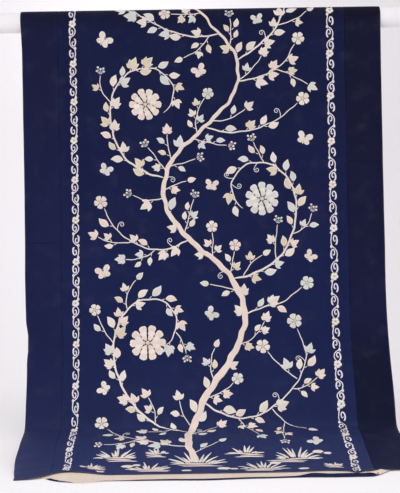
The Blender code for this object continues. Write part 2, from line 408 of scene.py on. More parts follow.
class Bench:
    """A node tree while it is being wired."""

    def __init__(self, tree: Tree) -> None:
        """Keeps the tree."""
        self.tree = tree

    def add(self, kind: str, inputs: dict | None = None, **settings: object) -> Node:
        """Adds a node.

        Args:
            kind: The node's type without its ShaderNode prefix.
            inputs: Socket names or numbers, each with a value or another node's output.
            settings: The node's own settings.

        Returns:
            The new node.
        """
        node = self.tree.nodes.new("ShaderNode" + kind)
        for name, value in settings.items():
            setattr(node, name, value)
        for socket, value in (inputs or {}).items():
            self.feed(node.inputs[socket], value)
        return node

    def feed(self, socket: Socket, value: object) -> None:
        """Links an output to a socket, or sets the socket's own value.

        Args:
            socket: The socket to feed.
            value: A value, or another node's output.
        """
        if isinstance(value, Socket):
            self.tree.links.new(value, socket)
        elif isinstance(value, tuple) and len(value) == 3 and socket.type == "RGBA":
            socket.default_value = (*value, 1.0)
        else:
            socket.default_value = value

    def end(self, node: Node, **inputs: object) -> None:
        """Feeds a node's inputs by name, with underscores for spaces."""
        for name, value in inputs.items():
            self.feed(node.inputs[name.replace("_", " ")], value)

    def use(self, group: Tree, **inputs: object) -> Sockets:
        """Places an effect's group, whose inputs are named with underscores for spaces.

        Args:
            group: The effect's group.
            inputs: What feeds each of its inputs.

        Returns:
            The group's outputs.
        """
        node = self.add("Group")
        node.node_tree = group
        self.end(node, **inputs)
        return node.outputs

    def math(self, operation: str, *values: object) -> Socket:
        """A Math node's output."""
        return self.add("Math", dict(enumerate(values)), operation=operation).outputs[0]

    def times(self, first: object, second: object) -> Socket:
        """One value times another."""
        return self.math("MULTIPLY", first, second)

    def plus(self, first: object, second: object) -> Socket:
        """The sum of two values."""
        return self.math("ADD", first, second)

    def off(self, value: object, middle: object = None) -> Socket:
        """How far a value is from a middle, or from nothing."""
        return self.math("ABSOLUTE", value if middle is None else self.math("SUBTRACT", value, middle))

    def split(self, vector: object) -> Sequence[Socket]:
        """A vector's three numbers."""
        return self.add("SeparateXYZ", {0: vector}).outputs

    def mix(self, factor: object, low: object, high: object) -> Socket:
        """A colour between a low one and a high one, by a factor."""
        return self.add("Mix", {0: factor, 6: low, 7: high}, data_type="RGBA").outputs[2]

    def layered(self, colour: object, *layers: tuple[object, float, Colour]) -> Socket:
        """A colour with others laid thinly over it.

        Args:
            colour: The colour below.
            layers: For each layer its mask, its strength and its colour.

        Returns:
            The colour's output.
        """
        for mask, strength, tint in layers:
            colour = self.mix(self.times(mask, strength), colour, tint)
        return colour

    def ranged(
        self, value: object, low: float, high: float, to_low: float = 0.0, to_high: float = 1.0
    ) -> Socket:
        """A value carried smoothly from one range to another."""
        inputs = {"Value": value, "From Min": low, "From Max": high, "To Min": to_low, "To Max": to_high}
        return self.add("MapRange", inputs, interpolation_type="SMOOTHSTEP").outputs[0]

    def noise(
        self, place: object, scale: float, detail: float = 3.0, stretch: Colour = (1.0, 1.0, 1.0)
    ) -> Socket:
        """Noise of a scale.

        Args:
            place: Where it is read.
            scale: Its rate.
            detail: How many finer layers it has.
            stretch: The share of the rate on each axis.

        Returns:
            The noise's output.
        """
        moved = self.add("Mapping", {"Vector": place, "Scale": stretch}).outputs[0]
        inputs = {"Vector": moved, "Scale": scale, "Detail": detail}
        return self.add("TexNoise", inputs, noise_dimensions="3D").outputs["Fac"]

    def bump(self, *layers: tuple[object, float, float]) -> Socket:
        """The normal that layers of relief give, the first one lowest.

        Args:
            layers: For each layer the height that it reads, how high a height of 1 stands, in
                metres, and its strength.

        Returns:
            The normal's output.
        """
        inputs = {}
        for height, distance, strength in layers:
            inputs |= {"Height": height, "Distance": distance, "Strength": strength}
            inputs["Normal"] = self.add("Bump", inputs).outputs[0]
        return inputs["Normal"]


class Effects:
    """The shared effects, each a node group built once."""

    def __init__(self) -> None:
        """Builds every group."""
        self.weave = self._weave()
        self.slubs = self._slubs()
        self.lint = self._lint()
        self.threads = self._threads()
        self.crumple = self._crumple()

    @staticmethod
    def _group(
        name: str, inputs: dict[str, float | None], outputs: Iterable[str]
    ) -> tuple[Bench, Sockets, Node]:
        """Starts a group.

        Args:
            name: The group's name.
            inputs: Input names, each with its starting value, or None for a vector.
            outputs: The names of its outputs, which are all values.

        Returns:
            The bench, the group's inputs, and the node that takes its outputs.
        """
        tree = bpy.data.node_groups.new(name, "ShaderNodeTree")
        for socket, value in inputs.items():
            kind = "NodeSocketVector" if value is None else "NodeSocketFloat"
            made = tree.interface.new_socket(name=socket, in_out="INPUT", socket_type=kind)
            if value is not None:
                made.default_value = value
        for socket in outputs:
            tree.interface.new_socket(name=socket, in_out="OUTPUT", socket_type="NodeSocketFloat")
        return Bench(tree), tree.nodes.new("NodeGroupInput").outputs, tree.nodes.new("NodeGroupOutput")

    def _weave(self) -> Tree:
        """Plain weave: threads over and under one another.

        Returns:
            The effect's group.
        """
        inputs = {"Place": None, "Warp Pitch": 0.0005, "Weft Pitch": 0.0005}
        bench, given, end = self._group("plain weave", inputs, ("Height", "Over"))
        waves = []
        for value, pitch in zip(bench.split(given["Place"]), ("Warp Pitch", "Weft Pitch")):
            half_turn = bench.times(value, math.pi)
            waves.append(bench.math("SINE", bench.math("DIVIDE", half_turn, given[pitch])))
        warp, weft = waves
        over = bench.math("GREATER_THAN", bench.times(warp, weft), 0.0)
        warp_height = bench.times(bench.off(warp), over)
        weft_height = bench.times(bench.off(weft), bench.math("SUBTRACT", 1.0, over))
        bench.end(end, Height=bench.plus(warp_height, weft_height), Over=over)
        return bench.tree

    def _slubs(self) -> Tree:
        """Long uneven threads both ways, and the slow change of a hand-dyed length.

        Returns:
            The effect's group.
        """
        bench, given, end = self._group("slubs and dye", {"Place": None}, ("Warp", "Weft", "Dye"))
        place = given["Place"]
        warp = bench.noise(place, 700.0, 3.0, (1.0, 0.012, 1.0))
        weft = bench.noise(place, 500.0, 3.0, (0.02, 1.0, 1.0))
        bench.end(end, Warp=warp, Weft=weft, Dye=bench.noise(place, 5.0, 4.0, (1.6, 0.5, 1.0)))
        return bench.tree

    def _lint(self) -> Tree:
        """Scattered specks of lint, and a faint bloom of dust.

        Returns:
            The effect's group.
        """
        bench, given, end = self._group("lint", {"Place": None, "Amount": 0.1}, ("Specks", "Bloom"))
        place = given["Place"]
        cell = bench.add("TexVoronoi", {"Vector": place, "Scale": 30.0}, feature="F1").outputs
        pick = bench.add("SeparateColor", {0: cell["Color"]}).outputs
        chosen = bench.math("LESS_THAN", pick[0], given["Amount"])
        ragged = bench.plus(cell["Distance"], bench.times(bench.noise(place, 900.0, 2.0), 0.03))
        near = bench.math("LESS_THAN", ragged, bench.plus(bench.times(pick[1], 0.045), 0.018))
        bloom = bench.ranged(bench.noise(place, 22.0, 5.0), 0.5, 0.85)
        bench.end(end, Specks=bench.times(near, chosen), Bloom=bloom)
        return bench.tree

    def _threads(self) -> Tree:
        """Laid threads: a rounded height over each, and a tone that changes from one to the next.

        Returns:
            The effect's group.
        """
        bench, given, end = self._group("laid threads", {"Stitch": None, "Pitch": 0.0005}, ("Height", "Tone"))
        _, across, number = bench.split(given["Stitch"])
        count = bench.math("DIVIDE", across, given["Pitch"])
        height = bench.off(bench.math("SINE", bench.times(count, math.pi)))
        which = bench.add("CombineXYZ", {0: bench.math("FLOOR", count), 1: number}).outputs[0]
        tone = bench.add("TexWhiteNoise", {"Vector": which}, noise_dimensions="2D").outputs["Value"]
        bench.end(end, Height=height, Tone=tone)
        return bench.tree

    def _crumple(self) -> Tree:
        """Small soft creases that handling leaves in thin cloth.

        Returns:
            The effect's group.
        """
        bench, given, end = self._group("handling creases", {"Place": None}, ("Height",))
        place = given["Place"]
        wander = bench.add("TexNoise", {"Vector": place, "Scale": 7.0}).outputs["Color"]
        sway = {0: wander, 1: (0.06, 0.06, 0.0), 2: place}
        bent = bench.add("VectorMath", sway, operation="MULTIPLY_ADD").outputs[0]
        cells = bench.add("TexVoronoi", {"Vector": bent, "Scale": 17.0}, feature="SMOOTH_F1")
        fine = bench.times(bench.noise(place, 60.0), 0.25)
        bench.end(end, Height=bench.plus(cells.outputs["Distance"], fine))
        return bench.tree


def new_finish(name: str, **sockets: object) -> tuple[Material, Bench, Node]:
    """Makes a material with one Principled shader.

    Args:
        name: The finish's name.
        sockets: Values set on the shader's own sockets, with underscores for spaces.

    Returns:
        The material, its bench and its shader.
    """
    material = bpy.data.materials.new(name)
    material.use_nodes = True
    shader = material.node_tree.nodes["Principled BSDF"]
    bench = Bench(material.node_tree)
    bench.end(shader, **sockets)
    return material, bench, shader


@dataclass(frozen=True)
class Silk:
    """Dark blue silk of one dye lot, woven plain and a little slubbed, with painted light and shade along its
    fall.
    """

    name: str
    colour: Colour
    lighter: Colour
    roughness: float
    crumple: float
    sheen: float = 0.04
    # Painted light: how strongly the hanging front is painted lighter and bluer towards its foot.
    light_toward_hem: float = 0.11
    # Painted shade: how strongly the bend into the lying part is painted darker.
    bend_shade: float = 0.0
    # Painted light on the lying part, which also stands for some fading towards the hem.
    lying_light_and_fade: float = 0.37

    def material(self, effects: Effects) -> Material:
        """Builds the silk's material from its weave, slubs, handling creases, seams and lint, with painted
        light and shade along the fall and over the rail.

        Args:
            effects: The shared effects.

        Returns:
            The material.
        """
        material, bench, shader = new_finish(
            self.name, Specular_IOR_Level=0.05, Sheen_Weight=self.sheen, Sheen_Roughness=0.45,
            Sheen_Tint=(0.35, 0.45, 0.95),
        )
        place = bench.add("UVMap", uv_map="cloth").outputs[0]
        weave = bench.use(effects.weave, Place=place, Warp_Pitch=0.0004, Weft_Pitch=0.00036)
        slubs = bench.use(effects.slubs, Place=place)
        lint = bench.use(effects.lint, Place=place, Amount=0.06)
        crumple = bench.use(effects.crumple, Place=place)

        streak = bench.times(bench.plus(slubs["Warp"], slubs["Weft"]), 0.5)
        tone = bench.ranged(streak, 0.38, 0.64)
        cloudy = bench.ranged(slubs["Dye"], 0.34, 0.68)
        colour = bench.layered(self.colour, (tone, 0.55, self.lighter), (cloudy, 0.45, self.lighter))
        across, along, _ = bench.split(place)
        # Painted shade over the crest, where the cloth turns over the rail.
        crest_shade = bench.ranged(bench.off(along), 0.015, 0.085, 0.42, 0.0)
        for share, tint in (
            # Painted light, growing down the hanging front.
            (bench.ranged(along, 0.05, 0.95, 0.0, self.light_toward_hem), shade(40, 60, 126)),
            # Painted shade on the bend into the lying part.
            (bench.ranged(along, 0.8, 1.02, 0.0, self.bend_shade), shade(10, 11, 22)),
            # Painted light on the lying part, partly also fading towards the hem.
            (bench.ranged(along, 0.92, 1.42, 0.0, self.lying_light_and_fade), shade(65, 73, 115)),
            (crest_shade, shade(16, 13, 18)),
        ):
            colour = bench.mix(share, colour, tint)
        worn = self._worn(bench, place, across, along)
        colour = bench.layered(
            colour, (worn, 0.45, shade(122, 106, 110)), (lint["Bloom"], 0.05, shade(132, 130, 150)),
            (lint["Specks"], 0.4, shade(165, 162, 180)),
        )

        matt = bench.ranged(tone, 0.0, 1.0, self.roughness + 0.06, self.roughness - 0.05)
        near_seam = bench.ranged(bench.off(bench.off(across), PANEL_EDGE), 0.001, 0.014, 1.0, 0.0)
        gathers = bench.times(near_seam, bench.noise(place, 90.0, 1.0, (0.35, 1.0, 1.0)))
        normal = bench.bump(
            (crumple["Height"], 0.004, self.crumple), (gathers, 0.0008, 0.6), (streak, 0.0002, 0.3),
            (weave["Height"], 0.00006, 0.35),
        )
        rough = bench.plus(matt, bench.times(worn, 0.12))
        bench.end(shader, Base_Color=colour, Roughness=rough, Normal=normal)
        return material

    @staticmethod
    def _worn(bench: Bench, place: Socket, across: Socket, along: Socket) -> Socket:
        """Rubbed silk along the turned side edges and hems, more in some places than in others.

        Args:
            bench: The material's bench.
            place: The place on the cloth.
            across, along: Its distances across and along.

        Returns:
            How worn each place is.
        """
        sides = bench.ranged(bench.off(across), CLOTH_EDGE - 0.004, CLOTH_EDGE - 0.0005)
        hem = bench.ranged(bench.off(along, HEMS_MIDDLE), HEMS_REACH - 0.0016, HEMS_REACH)
        rim = bench.math("MAXIMUM", bench.times(sides, 0.6), hem)
        return bench.times(rim, bench.ranged(bench.noise(place, 30.0), 0.34, 0.58))


@dataclass(frozen=True)
class CottonLining:
    """Pale plain-woven cotton, washed soft, a little yellowed in patches."""

    name: str = "lining cotton"
    colour: Colour = shade(226, 209, 194)
    yellowed: Colour = shade(214, 192, 166)
    roughness: float = 0.85

    def material(self, effects: Effects) -> Material:
        """Builds the lining's material.

        Args:
            effects: The shared effects.

        Returns:
            The material.
        """
        material, bench, shader = new_finish(
            self.name, Specular_IOR_Level=0.25, Sheen_Weight=0.2, Sheen_Roughness=0.6,
            Sheen_Tint=(1.0, 0.97, 0.92),
        )
        place = bench.add("UVMap", uv_map="cloth").outputs[0]
        weave = bench.use(effects.weave, Place=place, Warp_Pitch=0.0006, Weft_Pitch=0.00065)
        slubs = bench.use(effects.slubs, Place=place)
        crumple = bench.use(effects.crumple, Place=place)
        streak = bench.times(bench.plus(slubs["Warp"], slubs["Weft"]), 0.5)
        stain = bench.ranged(slubs["Dye"], 0.42, 0.74)
        colour = bench.layered(self.colour, (stain, 0.6, self.yellowed))
        blush = bench.ranged(bench.noise(place, 16.0, 2.0), 0.5, 0.72, 0.0, 0.5)
        colour = bench.mix(blush, colour, shade(228, 200, 194))
        colour = bench.mix(bench.ranged(streak, 0.35, 0.65, 0.0, 0.22), colour, shade(198, 178, 158))
        colour = bench.layered(colour, (weave["Over"], 0.06, shade(236, 224, 210)))
        matt = bench.ranged(streak, 0.3, 0.7, self.roughness, self.roughness - 0.08)
        normal = bench.bump(
            (crumple["Height"], 0.006, 0.5), (streak, 0.0003, 0.35), (weave["Height"], 0.00012, 0.5)
        )
        bench.end(shader, Base_Color=colour, Roughness=matt, Normal=normal)
        return material


@dataclass(frozen=True)
class Floss:
    """Untwisted silk floss, laid side by side and dyed as each motif asks."""

    name: str
    pitch: float
    roughness: float = 0.42

    def material(self, effects: Effects) -> Material:
        """Builds the floss's material on the colour and stitch that each motif carries, with painted shade
        between the threads.

        Args:
            effects: The shared effects.

        Returns:
            The material.
        """
        material, bench, shader = new_finish(
            self.name, Specular_IOR_Level=0.45, Sheen_Weight=0.25, Sheen_Roughness=0.35,
            Sheen_Tint=(1.0, 0.97, 0.93),
        )
        dyed = bench.add("Attribute", attribute_name="thread").outputs["Color"]
        stitch = bench.add("Attribute", attribute_name="stitch").outputs["Vector"]
        threads = bench.use(effects.threads, Stitch=stitch, Pitch=self.pitch)
        place = bench.add("TexCoord").outputs["Object"]
        soil = bench.ranged(bench.noise(place, 35.0), 0.45, 0.75)
        uneven = bench.ranged(threads["Tone"], 0.0, 1.0, 0.0, 0.14)
        colour = bench.mix(uneven, dyed, shade(184, 166, 142))
        colour = bench.layered(colour, (soil, 0.1, shade(166, 154, 142)))
        # Painted shade in the grooves between the laid threads.
        gap = bench.ranged(threads["Height"], 0.0, 0.35, 0.24, 0.0)
        colour = bench.mix(gap, colour, shade(96, 84, 80))
        matt = bench.ranged(threads["Tone"], 0.0, 1.0, self.roughness - 0.07, self.roughness + 0.1)
        normal = bench.bump((threads["Height"], self.pitch * 0.35, 0.6))
        bench.end(shader, Base_Color=colour, Roughness=matt, Normal=normal)
        return material


@dataclass(frozen=True)
class RailPaint:
    """White brushed paint, slightly uneven and rubbed at the rims."""

    name: str = "white rail paint"
    colour: Colour = shade(252, 250, 251)
    rubbed: Colour = shade(206, 198, 192)
    roughness: float = 0.4
    rim: tuple[float, float] = (0.64, 0.65)

    def material(self, effects: Effects) -> Material:
        """Builds the paint's material from brush marks, faint soiling and rubbed rims.

        Args:
            effects: The shared effects.

        Returns:
            The material.
        """
        material, bench, shader = new_finish(
            self.name, Specular_IOR_Level=0.5, Coat_Roughness=0.3, Coat_Weight=0.05
        )
        place = bench.add("TexCoord").outputs["Object"]
        brush = bench.noise(place, 260.0, 3.0, (0.04, 1.0, 1.0))
        soil = bench.ranged(bench.noise(place, 6.0, 5.0), 0.5, 0.8)
        rim = bench.ranged(bench.off(bench.split(place)[0]), *self.rim)
        rub = bench.times(rim, bench.ranged(bench.noise(place, 120.0, 4.0), 0.45, 0.6))
        dust = bench.use(effects.lint, Place=place, Amount=0.12)
        colour = bench.layered(self.colour, (soil, 0.16, shade(226, 218, 214)))
        colour = bench.mix(bench.ranged(brush, 0.3, 0.7, 0.0, 0.07), colour, shade(224, 219, 222))
        colour = bench.layered(colour, (dust["Specks"], 0.25, shade(190, 184, 180)), (rub, 0.7, self.rubbed))
        matt = bench.ranged(brush, 0.25, 0.75, self.roughness, self.roughness + 0.14)
        bench.end(shader, Base_Color=colour, Roughness=matt, Normal=bench.bump((brush, 0.0003, 0.25)))
        return material


# ---- Cut pieces of cloth


class EdgeWork(Enum):
    """How an edge is worked: distances in from it, and the depth of the cloth's outer side."""

    TURNED = (
        (0.012, 0.00055), (0.0009, 0.00048), (0.0002, 0.0007), (0.0, 0.00112), (0.00024, 0.00155),
        (0.001, 0.00186), (0.006, 0.00212), (0.013, FACE_DEPTH),
    )
    SEAMED = ((0.0, 0.0009), (0.0001, 0.0015), (0.0004, 0.002), (0.0011, 0.00222), (0.0028, FACE_DEPTH))
    FOLDED_LINING = ((0.006, 0.00045), (0.0004, 0.00045), (0.0, 0.00022), (0.0004, 0.0))


class Thread(NamedTuple):
    """One column or row of a cut piece's grid."""

    at: float
    depth: float
    inset: float = 0.0


def spaced(start: float, end: float, step: float) -> list[float]:
    """Even places from start to end, about a step apart, both ends left out."""
    count = max(round((end - start) / step), 1)
    return [start + (end - start) * i / count for i in range(1, count)]


def threads_between(
    low: float, low_work: EdgeWork, high: float, high_work: EdgeWork, between: Sequence[float]
) -> list[Thread]:
    """Grid lines from one worked edge to the other.

    Args:
        low, high: The places of the lower and the higher edge.
        low_work, high_work: How each is worked.
        between: Places of the plain lines, kept where they clear both edges.

    Returns:
        The lines in rising order round the fold of each edge.
    """
    face = low_work.value[-1][1]
    first = [Thread(low + d, depth) for d, depth in low_work.value]
    last = [Thread(high - d, depth) for d, depth in reversed(high_work.value)]
    clear = 0.002
    middle = [Thread(at, face) for at in between if first[-1].at + clear < at < last[0].at - clear]
    return first + middle + last


@dataclass
class CutPiece:
    """One piece of cloth, cut flat and laid on the fall."""

    name: str
    columns: list[Thread]
    rows: list[Thread]
    flat: tuple[float, float]
    stands_for: str
    slot: str
    held: str
    rests_on: tuple[str, ...]
    thickness: float = 0.0004
    turned_under: float = 0.0009
    corner_tuck: float = 0.00012
    faces_rail: bool = False

    def build(self, fall: ClothFall, material: Material) -> Obj:
        """Lays the piece's grid on the fall and gives it its thickness.

        Args:
            fall: The cloth's shape.
            material: The piece's finish.

        Returns:
            The finished piece, declared to the frame.
        """
        bm = bmesh.new()
        steps_across, steps_along = len(self.columns) - 1, len(self.rows) - 1
        bmesh.ops.create_grid(bm, x_segments=steps_across, y_segments=steps_along, size=1.0)
        found = np.array([vertex.co[:2] for vertex in bm.verts])
        column = np.rint((found[:, 0] + 1) / 2 * steps_across).astype(int)
        row = np.rint((found[:, 1] + 1) / 2 * steps_along).astype(int)
        across, side_depth, _ = np.array(self.columns)[column].T
        along, hem_depth, inset = np.array(self.rows)[row].T
        stops_short = np.interp(across, REAR_INSET_AT, REAR_INSETS)
        on_edge = (inset == 1.0) & (along < 0.001 - fall.rear)
        along = along + inset * stops_short
        if self.faces_rail:
            depth = np.maximum(side_depth, hem_depth)
            depth += LAP_DROP * on_edge * np.clip(-stops_short / FULL_LAP, 0.0, 1.0)
        else:
            depth = np.minimum(side_depth, hem_depth)
            depth -= self.corner_tuck * (np.maximum(side_depth, hem_depth) < self.turned_under)
        places = fall.place(across, along, depth)
        uv_layer = bm.loops.layers.uv.new("cloth")
        for vertex, place in zip(bm.verts, places):
            vertex.co = place
        bm.verts.index_update()
        for face in bm.faces:
            for loop in face.loops:
                number = loop.vert.index
                loop[uv_layer].uv = (across[number], along[number])
        if not self.faces_rail:
            bmesh.ops.reverse_faces(bm, faces=bm.faces[:])
        piece = finished(self.name, bm, material)
        body = piece.modifiers.new("thickness", "SOLIDIFY")
        body.thickness = self.thickness
        body.offset = -1.0
        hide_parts(self.stands_for)
        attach(piece, "root")
        log.info("%s: %d by %d threads of grid", self.name, steps_across, steps_along)
        return piece

    def declare(self, piece: Obj, worked_on: Sequence[Obj] = ()) -> None:
        """Does nothing; nothing is declared to the frame."""


def finished(name: str, bm: bmesh.types.BMesh, material: Material) -> Obj:
    """Links a bmesh as a smooth-shaded object at the origin, with its finish.

    Args:
        name: The object's name.
        bm: The bmesh, which is freed.
        material: The finish.

    Returns:
        The object.
    """
    mesh = bpy.data.meshes.new(name)
    bm.to_mesh(mesh)
    bm.free()
    mesh.shade_smooth()
    mesh.materials.append(material)
    obj = bpy.data.objects.new(name, mesh)
    bpy.context.scene.collection.objects.link(obj)
    return obj


@dataclass
class PiecedSilk:
    """The silk face: the loom width and the two bands, each band in two lengths."""

    fall: ClothFall
    step: float = 0.0095
    crest_step: float = 0.0035
    hem_step: float = 0.0045
    gap: float = 0.00006
    panel_silk: Silk = Silk("panel silk", (0.0064, 0.0093, 0.043), (0.0104, 0.0142, 0.058), 0.55, 0.12)
    left_silk: Silk = Silk("left band silk", (0.0077, 0.009, 0.039), (0.012, 0.0136, 0.052), 0.52, 0.22)
    # The right band gets less painted light and a strong painted shade on its bend.
    right_silk: Silk = Silk(
        "right band silk", (0.0062, 0.0068, 0.025), (0.0097, 0.0103, 0.033), 0.64, 0.42,
        sheen=0.03, light_toward_hem=0.08, bend_shade=0.5, lying_light_and_fade=0.1,
    )

    def plain_rows(self) -> list[float]:
        """Distances along of the plain rows, closer together over the rail and by the rear hem.

        Returns:
            The distances in rising order.
        """
        turn, hem = CREST_REACH, HEM_REACH - self.fall.rear
        crest = spaced(-turn, turn, self.crest_step)
        rear = [*spaced(-self.fall.rear, hem, self.hem_step), hem, *spaced(hem, -turn, self.step)]
        front = spaced(turn, self.fall.front, self.step)
        return [*rear, -turn, *crest, turn, *front]

    def rows(self, low: float | None = None, high: float | None = None) -> list[Thread]:
        """Rows of a piece.

        Args:
            low: The seam where the piece starts, or None for the rear hem.
            high: The seam where it ends, or None for the front hem.

        Returns:
            Its rows, from the rear hem towards the front one.
        """
        found = threads_between(
            -self.fall.rear if low is None else low,
            EdgeWork.TURNED if low is None else EdgeWork.SEAMED,
            self.fall.front if high is None else high,
            EdgeWork.TURNED if high is None else EdgeWork.SEAMED,
            self.plain_rows(),
        )
        if low is None:
            found[0] = Thread(-self.fall.rear + 0.01, found[0].depth, 1.0)
        return found

    def panel(self, effects: Effects) -> tuple[CutPiece, Obj]:
        """Builds the loom width.

        Args:
            effects: The shared effects.

        Returns:
            How it was cut, and its object.
        """
        edge, ruck = PANEL_EDGE, RUCK_START
        between = [*spaced(-edge, MIDDLE_COLUMNS[0], self.step), *MIDDLE_COLUMNS]
        between += [*spaced(MIDDLE_COLUMNS[-1], ruck, self.step), ruck, *spaced(ruck, edge, self.hem_step)]
        columns = threads_between(-edge, EdgeWork.SEAMED, edge, EdgeWork.SEAMED, between)
        cut = CutPiece(
            "centre_panel_silk", columns, self.rows(), (2 * edge, self.fall.front + self.fall.rear),
            "centre_panel", "panel_silk", "draped", ("rail",),
        )
        return cut, cut.build(self.fall, self.panel_silk.material(effects))

    def band(
        self, name: str, way: int, seam: float, silk: Silk, effects: Effects
    ) -> list[tuple[CutPiece, Obj]]:
        """Builds one side band in its two lengths.

        Args:
            name: The band's name.
            way: 1 for the right side and -1 for the left.
            seam: The distance along of the seam between its lengths.
            silk: Its finish.
            effects: The shared effects.

        Returns:
            The upper and the lower length, each with its object.
        """
        inner, outer = PANEL_EDGE + self.gap, CLOTH_EDGE
        if way > 0:
            fine = spaced(inner, RUCK_END, self.hem_step)
            between = [*fine, RUCK_END, *spaced(RUCK_END, outer, self.step)]
            columns = threads_between(inner, EdgeWork.SEAMED, outer, EdgeWork.TURNED, between)
        else:
            between = spaced(-outer, -inner, self.step)
            columns = threads_between(-outer, EdgeWork.TURNED, -inner, EdgeWork.SEAMED, between)
        material = silk.material(effects)
        upper = CutPiece(
            name + "_upper_silk", columns, self.rows(high=seam - self.gap / 2),
            (outer - inner, self.fall.rear + seam), name + "_upper", name + "_silk", "draped", ("rail",),
        )
        lower = CutPiece(
            name + "_lower_silk", columns, self.rows(low=seam + self.gap / 2),
            (outer - inner, self.fall.front - seam), name + "_lower", name + "_silk", "hung",
            (name + "_upper_silk",),
        )
        return [(cut, cut.build(self.fall, material)) for cut in (upper, lower)]


@dataclass
class Lining:
    """The cotton lining, felled inside the turned edges of the silk."""

    fall: ClothFall
    step: float = 0.0125
    ruck_step: float = 0.0032
    crest_step: float = 0.004
    front_short: float = 0.006
    hem_rows: Rows = (
        (0.0035, 0.98), (0.0065, 0.94), (0.0095, 0.89), (0.0125, 0.83), (0.0155, 0.76),
        (0.019, 0.67), (0.023, 0.56), (0.03, 0.36), (0.037, 0.16),
    )
    finish: CottonLining = CottonLining()

    def build(self, effects: Effects) -> tuple[CutPiece, Obj]:
        """Builds the lining.

        Args:
            effects: The shared effects.

        Returns:
            How it was cut, and its object.
        """
        work = EdgeWork.FOLDED_LINING
        between = [*spaced(-LINING_EDGE, RUCK_START, self.step), RUCK_START]
        between += [*spaced(RUCK_START, RUCK_END, self.ruck_step), RUCK_END]
        between += spaced(RUCK_END, LINING_EDGE, self.step)
        columns = threads_between(-LINING_EDGE, work, LINING_EDGE, work, between)
        turn = CREST_REACH
        plain = [*spaced(-self.fall.rear, -turn, self.step), -turn]
        plain += [*spaced(-turn, turn, self.crest_step), turn, *spaced(turn, self.fall.front, self.step)]
        plain = [at for at in plain if at > -self.fall.rear + HEM_REACH]
        rows = threads_between(-self.fall.rear, work, self.fall.front - self.front_short, work, plain)
        folded = len(work.value)
        by_hem = [Thread(-self.fall.rear + at, 0.0, inset) for at, inset in self.hem_rows]
        rows = [line._replace(inset=1.0) for line in rows[:folded]] + by_hem + rows[folded:]
        cut = CutPiece(
            "cotton_lining", columns, rows, (2 * LINING_EDGE, self.fall.front + self.fall.rear),
            "lining", "lining_cloth", "draped", ("rail",), thickness=0.0003, faces_rail=True,
        )
        return cut, cut.build(self.fall, self.finish.material(effects))


# ---- Needlework


class Shade(Enum):
    """The dyed flosses."""

    IVORY = shade(241, 229, 217)
    CREAM = shade(249, 241, 229)
    PEACH = shade(243, 220, 207)
    GOLD = shade(230, 213, 186)
    GREY_IVORY = shade(220, 221, 214)
    LILAC_WHITE = shade(240, 234, 239)
    PINK_WHITE = shade(246, 234, 231)
    TAN = shade(180, 157, 130)


IVORY, CREAM, PEACH, GOLD, GREY_IVORY, LILAC_WHITE, PINK_WHITE, TAN = Shade

# How high each kind of stitch stands.
THIN, STEM, SATIN, PADDED = 0.0003, 0.0006, 0.0008, 0.0009

# The flosses at a motif's heart and at its rim.
Tones = tuple[Shade, Shade]
KNOT = (GOLD, TAN)
LINE = (LILAC_WHITE, LILAC_WHITE)
WARM = (PEACH, CREAM)
COOL = (GREY_IVORY, LILAC_WHITE)

Spot = Sequence[float]
Profile = Callable[[Array], Array]


def ribbon_profile(start: float, end: float, length: float) -> Profile:
    """Half widths of a stroke that changes from start to end, with both its ends rounded.

    Args:
        start, end: The half widths at its ends.
        length: The stroke's length.

    Returns:
        The half width at each share of the length.
    """

    def half_width(p: Array) -> Array:
        """The half width at these shares of the length."""
        width = start + (end - start) * p
        return width * np.sqrt(1 - (1 - np.clip(np.minimum(p, 1 - p) * length / width, 0, 1)) ** 2)

    return half_width


def leaf_profile(width: float, fullness: float = 0.85, point: float = 1.15) -> Profile:
    """Half widths of a leaf, fullest nearer its stalk and pointed at its tip."""
    return lambda p: width * np.maximum(np.sin(math.pi * p**fullness), 0.0) ** point


def petal_profile(width: float) -> Profile:
    """Half widths of a petal, narrow at its foot and rounded at its tip."""
    return lambda p: width * np.sqrt(np.maximum(np.sin(math.pi * np.clip(p, 0, 1) ** 1.7), 0.0))


def disc_profile(radius: float) -> Profile:
    """Half widths of a round or long dot."""
    return lambda p: radius * np.sqrt(np.clip(1 - (2 * p - 1) ** 2, 0.0, 1.0))


def curve_through(points: Sequence[Spot], samples: int = 14) -> Array:
    """A smooth line through points.

    Args:
        points: The points, two numbers each.
        samples: How many points it gets from each to the next.

    Returns:
        The line's points.
    """
    given = np.array(points, float)
    padded = np.vstack([2 * given[0] - given[1], given, 2 * given[-1] - given[-2]])
    t = np.linspace(0, 1, samples, endpoint=False)[:, None]
    parts = []
    for a, b, c, d in zip(padded, padded[1:], padded[2:], padded[3:]):
        bend, twist = 2 * a - 5 * b + 4 * c - d, 3 * b - a - 3 * c + d
        parts.append(0.5 * (2 * b + (c - a) * t + bend * t**2 + twist * t**3))
    return np.vstack([*parts, given[-1:]])


def lengths_along(line: Array) -> Array:
    """The distance run along a line at each of its points."""
    return np.concatenate([[0.0], np.cumsum(np.hypot(*np.diff(line, axis=0).T))])


def on_line(line: Array, at: float | Array) -> Array:
    """The place, or places, at distances run along a line."""
    gone = lengths_along(line)
    return np.stack([np.interp(at, gone, line[:, k]) for k in (0, 1)], axis=-1)


def heading_at(line: Array, at: float | None = None) -> float:
    """The way that a line runs at a distance along it, or at its end, as an angle."""
    at = lengths_along(line)[-1] if at is None else at
    step = on_line(line, at + 0.003) - on_line(line, at - 0.003)
    return math.atan2(step[1], step[0])


def out_from(centre: Spot, heading: float, distance: float) -> Array:
    """The place at a distance from another, on a heading."""
    return np.array([centre[0] + distance * math.cos(heading), centre[1] + distance * math.sin(heading)])


